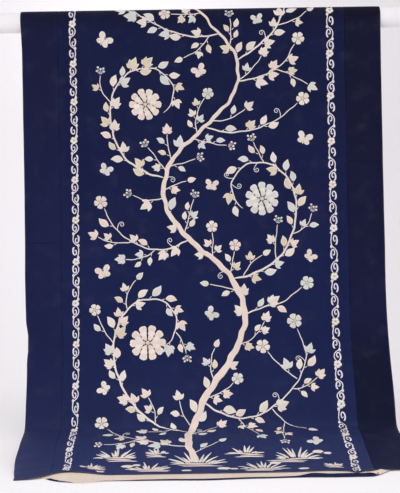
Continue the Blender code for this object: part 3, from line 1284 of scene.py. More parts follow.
def bent_line(base: Spot, heading: float, length: float, bend: float = 0.0) -> Array:
    """A line that leaves its base on a heading and turns evenly by the bend, both in radians.

    Args:
        base: Where it starts.
        heading: The way that it starts.
        length: Its length.
        bend: How far it turns on the way.

    Returns:
        The line's thirteen points.
    """
    t = np.linspace(0, 1, 13)
    angle = heading + bend * t
    steps = np.stack([np.cos(angle), np.sin(angle)], axis=1)[:-1] * length / 12
    return np.vstack([np.zeros((1, 2)), np.cumsum(steps, axis=0)]) + np.array(base[:2])


def spiral(centre: Spot, start: float, outer: float, inner: float, turns: float) -> Array:
    """A spiral inwards from an angle; negative turns run clockwise.

    Args:
        centre: Its middle.
        start: The angle that it starts at.
        outer, inner: Its first and its last radius.
        turns: How many turns it makes.

    Returns:
        The spiral's points.
    """
    t = np.linspace(0, 1, int(abs(turns) * 20) + 2)
    angle = start + 2 * math.pi * turns * t
    radius = outer + (inner - outer) * t**0.85
    return np.stack([centre[0] + radius * np.cos(angle), centre[1] + radius * np.sin(angle)], axis=1)


def wandering(line: Array, amount: float, phase: float) -> Array:
    """A line with the small sideways wander of hand work, held still at both its ends.

    Args:
        line: The even line.
        amount: How far it wanders.
        phase: Where the wander starts.

    Returns:
        The line's new points.
    """
    gone = lengths_along(line)
    way = np.gradient(line, axis=0)
    way /= np.maximum(np.hypot(*way.T), 1e-9)[:, None]
    swing = np.sin(gone * 95 + phase) + 0.7 * np.sin(gone * 171 + 2.1 * phase)
    held = np.clip(np.minimum(gone, gone[-1] - gone) / 0.02, 0.0, 1.0)
    return line + np.stack([-way[:, 1], way[:, 0]], axis=1) * (amount * swing * held)[:, None]


@dataclass
class Needlework:
    """Embroidery worked flat, in across and above, and laid on the silk when it is done."""

    name: str
    seed: int
    sunk: float = 0.00018
    bm: bmesh.types.BMesh = field(init=False)
    dice: np.random.Generator = field(init=False)

    def __post_init__(self) -> None:
        """Starts an empty piece of work."""
        self.bm = bmesh.new()
        self.dyed = self.bm.verts.layers.float_color.new("thread")
        self.stitch = self.bm.verts.layers.float_vector.new("stitch")
        self.dice = np.random.default_rng(self.seed)

    def pick(self, choices: Sequence[Tones]) -> Tones:
        """One pair of flosses, by chance."""
        return choices[int(self.dice.integers(len(choices)))]

    def work(
        self, spine: Array, half_width: Profile, tones: Tones, height: float,
        steps: tuple[int, int] = (8, 4), lift: float = 0.0, notch: float = 0.0, vein: float = 0.0,
        rim: float = 0.45,
    ) -> None:
        """Works one padded shape along a spine.

        Args:
            spine: The line that the shape grows along.
            half_width: Its half width at each share of the spine.
            tones: The flosses at its heart and at its rim.
            height: How high it stands.
            steps: Its grid's steps along and across.
            lift: How far it starts above the silk, where it lies on other work.
            notch: How far the tip is drawn back at its middle, as a share of the length.
            vein: How deep its middle line is pressed.
            rim: The share of the half width where the outer floss starts to show.
        """
        made = bmesh.ops.create_grid(self.bm, x_segments=steps[0], y_segments=steps[1], size=1.0)["verts"]
        flat = np.array([vertex.co[:2] for vertex in made])
        p, q = np.clip((flat[:, 0] + 1) / 2, 0, 1), flat[:, 1]
        length = lengths_along(spine)[-1]
        reach = p * (1 - notch * np.exp(-((q / 0.4) ** 2)) * soft_step(p, 0.55, 1.0)) * length
        centre = on_line(spine, reach)
        ahead, behind = np.minimum(reach + length / 40, length), np.maximum(reach - length / 40, 0.0)
        way = on_line(spine, ahead) - on_line(spine, behind)
        way /= np.maximum(np.hypot(way[:, 0], way[:, 1]), 1e-9)[:, None]
        aside = q * half_width(p)
        across = centre[:, 0] - way[:, 1] * aside
        above = centre[:, 1] + way[:, 0] * aside
        crown = np.clip(1 - np.abs(q) ** 2.2, 0, 1) ** 0.6 * np.minimum(1.0, np.sin(math.pi * p) / 0.3) ** 0.5
        stand = lift - self.sunk + (height + self.sunk) * crown - vein * np.exp(-((q / 0.22) ** 2)) * crown
        blend = soft_step(np.maximum(np.abs(q), soft_step(p, 0.6, 1.0)), rim, 1.0)[:, None]
        heart, edge = (np.array(tone.value) for tone in tones)
        colours = heart * (1 - blend) + edge * blend
        number = float(self.dice.random())
        colours = colours * (0.94 + 0.1 * number)
        lay = p * length + 0.7 * np.abs(aside)
        for vertex, u, v, h, colour, x, y in zip(made, across, above, stand, colours, aside, lay):
            vertex.co = (u, v, h)
            vertex[self.dyed] = (*colour, 1.0)
            vertex[self.stitch] = (x, y, number * 97.0)

    def stroke(
        self, line: Array, start: float, end: float, tones: Tones,
        height: float = 0.0005, lift: float = 0.0, pace: float = 0.0035,
    ) -> None:
        """Works a line of stem stitch.

        Args:
            line: The line.
            start, end: The stroke's widths at its ends.
            tones: The flosses along its middle and along its edges.
            height: How high it stands.
            lift: How far it starts above the silk.
            pace: The grid's step along.
        """
        length = float(lengths_along(line)[-1])
        half_width = ribbon_profile(start / 2, end / 2, length)
        self.work(line, half_width, tones, height, (max(int(length / pace), 4), 2), lift, rim=0.55)

    def dot(
        self, centre: Spot, radius: float, tones: Tones, height: float, lift: float = 0.0,
        tall: float = 1.0, heading: float = math.pi / 2,
    ) -> None:
        """Works a dot or a knot.

        Args:
            centre: Its middle.
            radius: Its half width.
            tones: The flosses at its heart and at its rim.
            height: How high it stands.
            lift: How far it starts above the silk.
            tall: Its length as a share of its width.
            heading: The way that it is long.
        """
        reach = radius * tall
        line = np.stack([out_from(centre, heading, d) for d in (-reach, 0.0, reach)])
        self.work(line, disc_profile(radius), tones, height, (4, 4), lift, rim=0.6)

    def leaf(
        self, base: Spot, heading: float, length: float, bend: float, tones: Tones,
        lift: float = 0.0, share: float = 0.3,
    ) -> None:
        """Works a pointed leaf with a pressed middle vein.

        Args:
            base: Its foot.
            heading: The way that it leaves its foot.
            length: Its length.
            bend: How far it turns on the way.
            tones: The flosses at its heart and at its rim.
            lift: How far it starts above the silk.
            share: Its half width as a share of its length.
        """
        line = bent_line(base, heading, length, bend)
        self.work(line, leaf_profile(length * share), tones, PADDED, lift=lift, vein=0.0004)

    def lobed_leaf(self, base: Spot, heading: float, size: float, tones: Tones, lobes: int = 3) -> None:
        """Works a leaf of three or five lobes that share a foot.

        Args:
            base: Its foot.
            heading: The way that its middle lobe points.
            size: The middle lobe's length.
            tones: The flosses at each lobe's heart and rim.
            lobes: Three or five.
        """
        for number in range(lobes // 2, 0, -1):
            for side in (1, -1):
                turn = side * (0.95 if lobes == 3 else 0.7 * number)
                scale = 0.76 if lobes == 3 else 1.0 - 0.22 * number
                self.leaf(base, heading + turn, size * scale, -0.3 * turn, tones, share=0.27)
        self.leaf(base, heading, size, 0.12, tones, 0.0002, 0.27)

    def flower(self, centre: Spot, radius: float, turn: float, tones: Tones) -> None:
        """Works an open flower of five notched petals round a knotted eye.

        Args:
            centre: Its middle.
            radius: Its radius.
            turn: Where its first petal points.
            tones: The flosses at each petal's heart and rim.
        """
        for k in range(5):
            heading = turn + 2 * math.pi * k / 5
            line = bent_line(out_from(centre, heading, 0.1 * radius), heading, radius * 0.9)
            self.work(line, petal_profile(radius * 2.15 / 5), tones, SATIN, (6, 4), notch=0.16)
        self.dot(centre, radius * 0.2, KNOT, PADDED, 0.0006)

    def blossom(self, centre: Spot, radius: float, turn: float, tones: Tones) -> None:
        """Works a full blossom of three rings of petals round a knotted heart.

        Args:
            centre: Its middle.
            radius: Its radius.
            turn: Where its first petal points.
            tones: The flosses at the hearts and rims of the outermost and innermost petals.
        """
        rings = ((10, 0.42, 1.0, 0.225, 0.0), (8, 0.26, 0.74, 0.19, 0.0005), (6, 0.12, 0.48, 0.145, 0.001))
        for ring, (count, foot, tip, wide, lift) in enumerate(rings):
            petal = petal_profile(wide * radius)
            dyed = tones if ring != 1 else (CREAM, tones[0])
            for k in range(count):
                heading = turn + 2 * math.pi * (k + 0.5 * (ring % 2)) / count
                reach = (tip - foot) * radius * (1 - 0.06 * self.dice.random())
                line = bent_line(out_from(centre, heading, foot * radius), heading, reach, 0.12)
                self.work(line, petal, dyed, PADDED, (7, 4), lift, 0.14, 0.0003)
        self.dot(centre, radius * 0.13, KNOT, PADDED, 0.0015)
        for k in range(9):
            knot = out_from(centre, turn + 2 * math.pi * k / 9, 0.2 * radius)
            self.dot(knot, radius * 0.035, (CREAM, GOLD), 0.0007, 0.0017)

    def berries(self, base: Spot, heading: float, size: float, tones: Tones) -> None:
        """Works five small round fruits on a fan of stalks.

        Args:
            base: The stalks' foot.
            heading: The way that the fan opens.
            size: The longest stalk's length.
            tones: The flosses at each fruit's heart and rim.
        """
        for turn, reach in ((-0.95, 0.62), (-0.48, 0.9), (0.0, 0.72), (0.45, 1.0), (0.95, 0.66)):
            stalk = bent_line(base, heading + turn, size * reach, -0.3 * turn)
            self.stroke(stalk, 0.0018, 0.0016, LINE, THIN)
            self.dot(stalk[-1], 0.0032, tones, 0.001, 0.0001)

    def tendril(self, base: Spot, heading: float, reach: float, way: int) -> None:
        """Works a thin curled tendril.

        Args:
            base: Its foot.
            heading: The way that it leaves its foot.
            reach: The length of its straighter part.
            way: 1 where it curls to the left and -1 to the right.
        """
        out = bent_line(base, heading, reach, 0.6 * way)
        facing = heading_at(out)
        radius = reach * 0.36
        middle = out_from(out[-1], facing + way * math.pi / 2, radius)
        curl = spiral(middle, facing - way * math.pi / 2, radius, radius * 0.22, way * 1.45)
        self.stroke(np.vstack([out[:-1], curl]), 0.0024, 0.0018, LINE, 0.00035, 0.0001, 0.003)

    def rose(self, centre: Spot, radius: float) -> None:
        """Works a small border rose of five scalloped petals round a tan eye.

        Args:
            centre: Its middle.
            radius: Its radius.
        """
        turn = math.pi / 4 + 0.3 * float(self.dice.random())
        tones = self.pick(((CREAM, IVORY), (PINK_WHITE, CREAM), (LILAC_WHITE, CREAM), (CREAM, GOLD)))
        for k in range(5):
            heading = turn + 2 * math.pi * k / 5
            line = bent_line(out_from(centre, heading, 0.08 * radius), heading, radius * 0.98)
            lift = 0.0001 * (k % 2)
            self.work(line, petal_profile(radius * 0.49), tones, SATIN, (6, 4), lift, 0.1, 0.0002)
        self.dot(centre, radius * 0.24, (TAN, TAN), 0.0005, 0.0007)

    def butterfly(self, centre: Spot, heading: float, span: float, heart: Shade) -> None:
        """Works a butterfly seen from above, with spotted wings and two feelers.

        Args:
            centre: Its middle.
            heading: The way that it flies.
            span: The distance between its wing tips.
            heart: The floss at its wings' hearts.
        """
        for side in (1, -1):
            for turn, scale, wide, tip in ((0.95, 0.6, 0.2, 1.5), (2.15, 0.42, 0.18, 1.0)):
                root = out_from(centre, heading, 0.06 * span)
                line = bent_line(root, heading + side * turn, span * scale, -0.45 * side)
                wing = leaf_profile(span * wide, tip, 0.62)
                self.work(line, wing, (heart, LILAC_WHITE), 0.0007, (8, 5), vein=0.0001)
                for share in (0.52, 0.74):
                    self.dot(on_line(line, share * span * scale), span * 0.042, KNOT, THIN, 0.0006)
            brow = out_from(centre, heading, 0.2 * span)
            feeler = bent_line(brow, heading + 0.3 * side, span * 0.4, 1.0 * side)
            self.stroke(feeler, 0.0018, 0.0014, LINE, THIN, 0.0, 0.003)
            self.dot(feeler[-1], 0.0014, (CREAM, CREAM), 0.0004)
        back = bent_line(out_from(centre, heading, -0.24 * span), heading, span * 0.48)
        body = leaf_profile(span * 0.055, 0.8, 0.6)
        self.work(back, body, (GOLD, IVORY), 0.0011, lift=0.0004)

    def tuft(self, base: Spot, width: float, blades: int) -> None:
        """Works a fan of grass over a little broken ground.

        Args:
            base: The middle of its foot.
            width: The ground's width.
            blades: How many blades it has.
        """
        dice = self.dice
        for k in range(blades):
            share = (k + 0.5 + 0.5 * dice.uniform(-1, 1)) / blades * 2 - 1
            length = width * (0.46 - 0.16 * abs(share)) * dice.uniform(0.55, 1.15)
            foot = (base[0] + 0.3 * width * share, base[1] + 0.05 * width * (1 - abs(share)))
            line = bent_line(foot, math.pi / 2 - 1.15 * share, length, -dice.uniform(0.4, 1.1) * share)
            tones = (IVORY, CREAM) if k % 3 else COOL
            self.work(line, leaf_profile(0.0036, 0.6, 0.8), tones, STEM, (6, 3))
        for row in range(3):
            reach = width * dice.uniform(0.3, 0.46)
            middle = (base[0] + width * dice.uniform(-0.22, 0.22), base[1] - 0.0075 * row)
            rises = ((-reach, 0.0), (0.0, 0.003), (reach, -0.001))
            line = curve_through([(middle[0] + u, middle[1] + v) for u, v in rises])
            tones = (PEACH, IVORY)
            self.work(line, leaf_profile(0.003, 1.0, 0.7), tones, STEM, (10, 3), 0.0001)

    def stone(self, centre: Spot, size: float) -> None:
        """Works a low stone, pale along its top and broken by two lines of shading.

        Args:
            centre: Its middle.
            size: Its height.
        """
        self.dot(centre, size * 0.45, (IVORY, LILAC_WHITE), SATIN, 0.0, 1.9, 0.0)
        for step in (0.16, 0.42):
            left = (centre[0] - size * (0.6 - step), centre[1] - size * step)
            right = (centre[0] + size * 0.5, centre[1] - size * (step + 0.1))
            tones = (GREY_IVORY, TAN)
            self.stroke(curve_through([left, right], 4), 0.0018, 0.0012, tones, THIN, 0.0006)

    def lay(self, fall: ClothFall, material: Material, inside: bool = False) -> Obj:
        """Lays the finished work on the cloth.

        Args:
            fall: The cloth's shape.
            material: The floss.
            inside: True for stitches on the lining's side.

        Returns:
            The finished piece, riding on the body.
        """
        bmesh.ops.remove_doubles(self.bm, verts=self.bm.verts[:], dist=2e-6)
        flat = np.array([vertex.co[:] for vertex in self.bm.verts])
        depth = -flat[:, 2] if inside else FACE_DEPTH + flat[:, 2]
        places = fall.place(flat[:, 0], fall.front - flat[:, 1], depth)
        places[:, 2] = np.maximum(places[:, 2], 0.0001)
        for vertex, place in zip(self.bm.verts, places):
            vertex.co = place
        if inside:
            bmesh.ops.reverse_faces(self.bm, faces=self.bm.faces[:])
        log.info("%s: %d faces", self.name, len(self.bm.faces))
        piece = finished(self.name, self.bm, material)
        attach(piece, "root")
        return piece


@dataclass
class ScrollBorder:
    """One scroll border: small roses, and between them a running stem with a curl in each bay."""

    name: str
    middle: float
    turned: bool
    roses: tuple[int, ...]
    spacing: float
    half_width: float
    rose_radius: float
    seed: int
    bays: int = 3
    end_bay: float = 0.032
    hem_gap: float = 0.006
    curl: Rows = (
        (-0.4, 0.98), (-0.86, 0.88), (-1.02, 0.64), (-0.76, 0.38), (-0.18, 0.31), (0.16, 0.48), (0.06, 0.68),
        (-0.3, 0.73), (-0.46, 0.58),
    )

    def build(self, fall: ClothFall, material: Material) -> Obj:
        """Works the border from the front hem over the rail to the rear hem.

        Args:
            fall: The cloth's shape.
            material: The floss.

        Returns:
            The border's object.
        """
        sewn = Needlework(self.name, self.seed)
        places = [rose / 1000 for rose in self.roses]
        while places[-1] + self.spacing < fall.front + fall.rear - 0.02:
            places.append(places[-1] + self.spacing)
        clear = self.rose_radius * 0.85
        for place in places:
            sewn.rose((self.middle + 0.0006 * sewn.dice.normal(), place), self.rose_radius)
        for low, high in zip(places, places[1:]):
            self._run(sewn, low + clear, high - clear, self.bays)
        first = places[0] - clear
        if first > 2 * self.hem_gap:
            self._run(sewn, self.hem_gap, first, max(1, round(first / self.end_bay)))
        return sewn.lay(fall, material)

    def _run(self, sewn: Needlework, low: float, high: float, bays: int) -> None:
        """Works the stem, the curls and the lobes between two roses.

        Args:
            sewn: The needlework.
            low, high: Its ends, above the front hem.
            bays: How many bays it has.
        """
        bay = (high - low) / bays
        turn = -1 if self.turned else 1

        def spot(x: float, y: float) -> tuple[float, float]:
            """The place at shares across the border and up the run, or down it on a turned border."""
            return self.middle + turn * x * self.half_width, high - y * bay if self.turned else low + y * bay

        stem = [spot(0.05, bays + 0.06), spot(0.62, bays - 0.1)]
        for k in reversed(range(bays)):
            way = 1 if (bays - 1 - k) % 2 == 0 else -1
            stem += [spot(0.95 * way, k + 0.7), spot(0.84 * way, k + 0.44)]
            below = ((0.22, 0.23), (-0.66, 0.05)) if k else ((0.56, 0.13), (0.1, -0.06))
            stem += [spot(x * way, k + y) for x, y in below]
            curl = curve_through([spot(way * x, k + y) for x, y in self.curl], 5)
            sewn.stroke(curl, 0.005, 0.0026, LINE, STEM, 0.0001, 0.003)
            lobe = spot((-0.86 if k else 0.82) * way, k + 0.1)
            sewn.dot(lobe, 0.0031, (LILAC_WHITE, PINK_WHITE), SATIN, 0.0002, 1.6)
        sewn.stroke(curve_through(stem, 8), 0.0036, 0.0036, LINE, pace=0.0036)


def mm(*numbers: int) -> Array:
    """Places on the silk, each given by two distances in millimetres."""
    return np.array(numbers).reshape(-1, 2) / 1000


class Branch(NamedTuple):
    """A stem, branch or twig of the vine, from its foot to its tip."""

    points: Array
    start: float
    end: float
    first_side: int = 1
    tip: str = ""
    tip_size: float = 0.0


class LeafPlace(NamedTuple):
    """Where a leaf's stalk leaves its branch, the way it heads, its side and its size."""

    foot: Array
    heading: float
    side: int
    size: float


class Room:
    """The silk of the field that is still free of motifs."""

    def __init__(self, half_width: float, bottom: float, top: float) -> None:
        """Starts with the whole field free.

        Args:
            half_width: How far the field reaches to each side.
            bottom, top: Where it starts and ends above the front hem.
        """
        self.half_width = half_width
        self.bottom = bottom
        self.top = top
        self.taken: list[tuple[float, float, float]] = [(0.0, -1.0, 0.01)]

    def take(self, line: Array, radius: float) -> None:
        """Marks the silk within a radius of a line as worked."""
        for at in np.arange(0.0, lengths_along(line)[-1] + radius, radius):
            self.taken.append((*on_line(line, at), radius))

    def free(self, spots: Array, radius: float) -> bool:
        """Whether discs at all these spots clear the field's edges and everything worked.

        Args:
            spots: The discs' middles.
            radius: Their radius.

        Returns:
            True where all of them do.
        """
        taken = np.array(self.taken)
        gap = np.hypot(spots[:, None, 0] - taken[None, :, 0], spots[:, None, 1] - taken[None, :, 1])
        inside = np.abs(spots[:, 0]) + radius < self.half_width
        inside &= (spots[:, 1] > self.bottom) & (spots[:, 1] < self.top)
        return bool(inside.all() and (gap - taken[None, :, 2] > radius).all())


@dataclass
class FloweringVine:
    """A scrolling vine of a general kind: a winding stem, curled branches, blossoms and leaves."""

    seed: int = 23
    half_width: float = 0.312
    bottom: float = 0.135
    top: float = 1.66
    leaf: float = 0.033
    stalk: float = 0.011
    branch_pace: float = 0.0165
    twig_pace: float = 0.0135
    stem: Branch = Branch(
        mm(-35, 70, -50, 200, -10, 330, 70, 450, 105, 560, 60, 670, -40, 760, -105, 860, -85, 970, 5, 1060,
           85, 1150, 90, 1250, 20, 1340, -40, 1430, -30, 1540, 30, 1620),
        0.021, 0.004,
    )
    branches: tuple[Branch, ...] = (
        Branch(
            mm(-48, 235, -110, 262, -190, 325, -236, 420, -236, 520, -190, 592, -120, 602, -78, 560,
               -84, 505, -108, 478), 0.008, 0.004, -1,
        ),
        Branch(
            mm(70, 655, 130, 668, 202, 715, 240, 800, 238, 890, 190, 952, 120, 960, 76, 915, 82, 865,
               106, 838), 0.0075, 0.004,
        ),
        Branch(
            mm(-102, 925, -150, 940, -212, 985, -243, 1065, -238, 1150, -192, 1208, -124, 1216,
               -78, 1172, -84, 1122, -108, 1096), 0.007, 0.0035, -1,
        ),
        Branch(
            mm(92, 1235, 135, 1262, 198, 1320, 226, 1400, 210, 1472, 160, 1512, 116, 1490, 108, 1452),
            0.006, 0.0035,
        ),
        Branch(mm(-48, 150, -100, 158, -160, 185, -220, 215, -262, 268), 0.005, 0.003, 1, "flower", 0.019),
        Branch(
            mm(-10, 328, 40, 300, 105, 290, 175, 318, 235, 378, 262, 450, 240, 525),
            0.006, 0.003, -1, "flower", 0.021,
        ),
        Branch(mm(165, 312, 205, 272, 255, 245), 0.004, 0.003, 1, "bud", 0.024),
        Branch(mm(238, 384, 195, 420, 160, 462), 0.004, 0.003, -1, "flower", 0.02),
        Branch(mm(104, 560, 150, 578, 205, 592, 258, 632), 0.005, 0.003, 1, "flower", 0.019),
        Branch(mm(-40, 760, -105, 735, -170, 745, -235, 790, -268, 850), 0.0055, 0.003, 1, "flower", 0.019),
        Branch(mm(5, 1060, 60, 1045, 130, 1050, 200, 1078, 256, 1122), 0.0055, 0.003, -1, "flower", 0.019),
        Branch(
            mm(52, 1308, -5, 1300, -70, 1312, -140, 1345, -205, 1390, -240, 1445),
            0.0055, 0.003, 1, "bud", 0.022,
        ),
        Branch(mm(-106, 872, -150, 866, -192, 882), 0.004, 0.0025, 1, "berries", 0.02),
        Branch(mm(90, 1180, 150, 1190, 215, 1225, 250, 1280), 0.005, 0.003, 1, "flower", 0.018),
    )
    blossoms: Rows = (
        (-0.152, 0.488, 0.05), (0.154, 0.866, 0.047), (-0.152, 1.122, 0.045), (0.16, 1.434, 0.04),
    )
    butterflies: Rows = (
        (-0.268, 0.672, 1.9, 0.044), (0.012, 0.56, 0.7, 0.04), (0.268, 1.02, 1.2, 0.044),
        (-0.004, 1.205, 2.1, 0.042), (0.268, 0.165, 2.4, 0.042), (-0.262, 1.29, 0.9, 0.046),
        (0.02, 0.9, 1.4, 0.038), (-0.262, 0.945, 1.1, 0.038), (-0.262, 0.365, 2.6, 0.038),
        (0.276, 0.708, 0.8, 0.036), (0.15, 1.34, 1.8, 0.034),
    )
    tufts: Rows = (
        (-0.035, 0.066, 0.13, 15), (-0.225, 0.1, 0.105, 12), (0.205, 0.084, 0.115, 13),
        (0.085, 0.112, 0.08, 9), (-0.15, 0.032, 0.1, 12), (0.12, 0.026, 0.115, 13),
        (-0.285, 0.048, 0.06, 7), (0.29, 0.04, 0.055, 7), (-0.125, 0.118, 0.06, 7),
    )
    stones: Rows = (
        (-0.2, 0.058, 0.02), (-0.178, 0.064, 0.014), (0.152, 0.066, 0.018), (0.028, 0.034, 0.022),
        (0.052, 0.03, 0.014), (-0.06, 0.022, 0.016), (0.262, 0.118, 0.018), (0.284, 0.11, 0.013),
        (-0.262, 0.018, 0.014), (0.215, 0.022, 0.018),
    )
    twigs: list[Branch] = field(default_factory=list)
    leaves: list[LeafPlace] = field(default_factory=list)
    tendrils: list[tuple[Array, float, float, int]] = field(default_factory=list)

    def build(self, fall: ClothFall, material: Material) -> list[Obj]:
        """Plans the vine and works its parts, each as a piece of its own.

        Args:
            fall: The cloth's shape.
            material: The floss.

        Returns:
            The parts' objects.
        """
        self._plan()
        creatures = Needlework("butterflies", self.seed + 3)
        for number, (*spot, heading, span) in enumerate(self.butterflies):
            heart = (PEACH, GREY_IVORY, IVORY)[number % 3]
            creatures.butterfly(spot, heading, span, heart)
        ground = Needlework("ground_tufts", self.seed + 4)
        for *spot, width, blades in self.tufts:
            ground.tuft(spot, width, blades)
        for *spot, size in self.stones:
            ground.stone(spot, size)
        parts = (self._stems(), self._foliage(), self._heads(), creatures, ground)
        return [part.lay(fall, material) for part in parts]

    def _plan(self) -> None:
        """Finds room along every branch for twigs, leaves and tendrils, in that order of choice."""
        room = Room(self.half_width, self.bottom, self.top)
        motifs = [(spot, radius + 0.004) for *spot, radius in self.blossoms]
        motifs += [(spot, span * 0.55) for *spot, _, span in self.butterflies]
        for (across, above), radius in motifs:
            room.take(np.array([[across, above], [across + 1e-4, above]]), radius)
        hosts = [(branch, curve_through(branch.points)) for branch in (self.stem, *self.branches)]
        for branch, line in hosts:
            room.take(line, max(branch.start / 2, 0.004))
            if branch.tip:
                room.take(line[-2:], branch.tip_size * 1.7)
        dice = np.random.default_rng(self.seed + 9)
        for branch, line in hosts:
            side = branch.first_side
            for at in np.arange(0.03, lengths_along(line)[-1] - 0.008, self.branch_pace):
                self._sprout(room, dice, line, float(at), branch.start, side)
                side = -side
        for twig in list(self.twigs):
            line = curve_through(twig.points)
            side = twig.first_side
            for at in np.arange(0.014, lengths_along(line)[-1] - 0.006, self.twig_pace):
                foot = on_line(line, float(at))
                heading = heading_at(line, float(at)) + side * dice.uniform(0.85, 1.15)
                if room.free(bent_line(foot, heading, 0.03)[8:], 0.004):
                    self._keep_leaf(room, foot, heading, side, dice.uniform(0.7, 0.85) * self.leaf)
                side = -side

    def _sprout(
        self, room: Room, dice: np.random.Generator, line: Array, at: float, width: float, side: int
    ) -> None:
        """Grows a twig from a branch where there is room for one, or a leaf, or a tendril.

        Args:
            room: The free silk.
            dice: The source of chance.
            line: The branch's line.
            at: The distance along it.
            width: The branch's width at its foot.
            side: 1 for the left of the line and -1 for the right.
        """
        foot, facing = on_line(line, at), heading_at(line, at)
        heading = facing + side * dice.uniform(0.7, 1.05)
        clear, eagerness = (4, 0.85) if width > 0.01 else (3, 0.5)
        length, bend = dice.uniform(0.06, 0.105), side * dice.uniform(-1.2, 0.3)
        tip, size = (
            ("flower", 0.0165), ("bud", 0.022), ("leaves", 0.027), ("berries", 0.02), ("leaves", 0.027)
        )[int(dice.integers(5))]
        twig = bent_line(foot, heading, length, bend)
        wants_twig = dice.random() < eagerness
        if wants_twig and room.free(twig[2 * clear :], 0.021):
            room.take(twig[clear:], 0.007)
            room.take(twig[-2:], 0.02)
            self.twigs.append(Branch(twig[::3], 0.0036, 0.0026, side, tip, size))
        elif room.free(bent_line(foot, heading, 0.044, -0.6 * side)[clear + 3 :], 0.008):
            self._keep_leaf(room, foot, heading, side, self.leaf * dice.uniform(0.85, 1.15))
        elif dice.random() < 0.5 and room.free(bent_line(foot, heading, 0.034)[clear + 4 :], 0.007):
            self.tendrils.append((foot, heading, 0.021, side))
            room.take(bent_line(foot, heading, 0.03)[5:], 0.01)

    def _keep_leaf(self, room: Room, foot: Array, heading: float, side: int, size: float) -> None:
        """Notes a leaf and marks its silk as worked.

        Args:
            room: The free silk.
            foot: Where its stalk leaves.
            heading: The way that it heads.
            side: The side of its branch.
            size: Its length.
        """
        room.take(bent_line(foot, heading, self.stalk + size, -0.6 * side)[4:], 0.007)
        self.leaves.append(LeafPlace(foot, heading, side, size))

    def _stems(self) -> Needlework:
        """The winding stem, the branches, the twigs and the tendrils.

        Returns:
            The needlework, not yet laid.
        """
        sewn = Needlework("vine_stems", self.seed)
        line = wandering(curve_through(self.stem.points), 0.0016, 0.4)
        length = lengths_along(line)[-1]
        plain = ribbon_profile(self.stem.start / 2, self.stem.end / 2, length)

        def knotty(p: Array) -> Array:
            """The stem's half width at these shares of its length, thicker at its knots."""
            return plain(p) * (1 + 0.1 * np.sin(41 * p) * np.sin(97 * p + 1) + 0.05 * np.sin(173 * p))

        sewn.work(line, knotty, (PEACH, IVORY), 0.001, (int(length / 0.006), 6), rim=0.5)
        tones = (IVORY, PINK_WHITE)
        for number, branch in enumerate((*self.branches, *self.twigs)):
            line = wandering(curve_through(branch.points), 0.0008, 1.7 * number)
            sewn.stroke(line, branch.start, branch.end, tones, STEM, pace=0.005)
        for tendril in self.tendrils:
            sewn.tendril(*tendril)
        return sewn

    def _foliage(self) -> Needlework:
        """The leaves, each on its stalk.

        Returns:
            The needlework, not yet laid.
        """
        sewn = Needlework("vine_leaves", self.seed + 1)
        choices = (WARM, COOL, (IVORY, PINK_WHITE), (IVORY, CREAM), (GOLD, CREAM))
        for foot, heading, side, size in self.leaves:
            stalk = bent_line(foot, heading, self.stalk, -0.4 * side)
            sewn.stroke(stalk, 0.0028, 0.0022, (PINK_WHITE, LILAC_WHITE), 0.0004)
            tones = sewn.pick(choices)
            ahead = heading - 0.4 * side
            kind = sewn.dice.random()
            if kind < 0.35:
                sewn.lobed_leaf(stalk[-1], ahead, size * 0.85, tones)
            elif kind < 0.5:
                sewn.lobed_leaf(stalk[-1], ahead, size * 0.9, tones, 5)
            else:
                sewn.leaf(stalk[-1], ahead, size, (-0.7 if kind < 0.8 else 0.5) * side, tones)
        return sewn

    def _heads(self) -> Needlework:
        """The full blossoms in the curls, and what the branches and twigs end in.

        Returns:
            The needlework, not yet laid.
        """
        sewn = Needlework("vine_blossoms", self.seed + 2)
        for number, (*spot, radius) in enumerate(self.blossoms):
            sewn.blossom(spot, radius, 0.3 * number, (WARM, COOL)[number % 2])
        for number, branch in enumerate((*self.branches, *self.twigs)):
            line = curve_through(branch.points)
            tip, heading, size = line[-1], heading_at(line), branch.tip_size
            tones = ((PEACH, LILAC_WHITE), (IVORY, CREAM), (GREY_IVORY, CREAM))[number % 3]
            if branch.tip == "flower":
                sewn.flower(out_from(tip, heading, 0.8 * size), size, heading, tones)
            elif branch.tip == "bud":
                for turn, scale, lift in ((0.42, 0.8, 0.0), (-0.42, 0.8, 0.0), (0.0, 1.1, 0.0003)):
                    sewn.leaf(tip, heading + turn, size * scale, -turn, tones, lift)
            elif branch.tip == "leaves":
                sewn.lobed_leaf(tip, heading, size, tones, 3 + 2 * (number % 2))
            elif branch.tip == "berries":
                sewn.berries(tip, heading, size, tones)
        return sewn


@dataclass
class FellingStitches:
    """The small slanting stitches that fell the lining to the turned silk."""

    pace: float = 0.012
    length: float = 0.0026
    width: float = 0.0006

    def build(self, fall: ClothFall, material: Material) -> Obj:
        """Works the stitches down both sides and along the rear hem.

        Args:
            fall: The cloth's shape.
            material: The thread.

        Returns:
            The stitches' object.
        """
        sewn = Needlework("felling_stitches", 5)
        whole = fall.front + fall.rear
        for way in (-1, 1):
            for above in np.arange(0.012, whole - 0.035, self.pace):
                self._stitch(sewn, way * LINING_EDGE, above, 0.35)
        for across in np.arange(-LINING_EDGE + 0.01, LINING_EDGE - 0.01, self.pace):
            inset = np.interp(across, REAR_INSET_AT, REAR_INSETS)
            self._stitch(sewn, across, whole - inset, 0.5 + math.pi / 2)
        return sewn.lay(fall, material, inside=True)

    def _stitch(self, sewn: Needlework, across: float, above: float, heading: float) -> None:
        """Works one stitch over the lining's edge.

        Args:
            sewn: The needlework.
            across, above: Its place.
            heading: The way that it slants.
        """
        reach = self.length / 2
        line = np.stack([out_from((across, above), heading, d) for d in (-reach, 0.0, reach)])
        half_width = ribbon_profile(self.width / 2, self.width / 2, self.length)
        sewn.work(line, half_width, (TAN, IVORY), THIN, (3, 2))


# ---- The rail and the studio


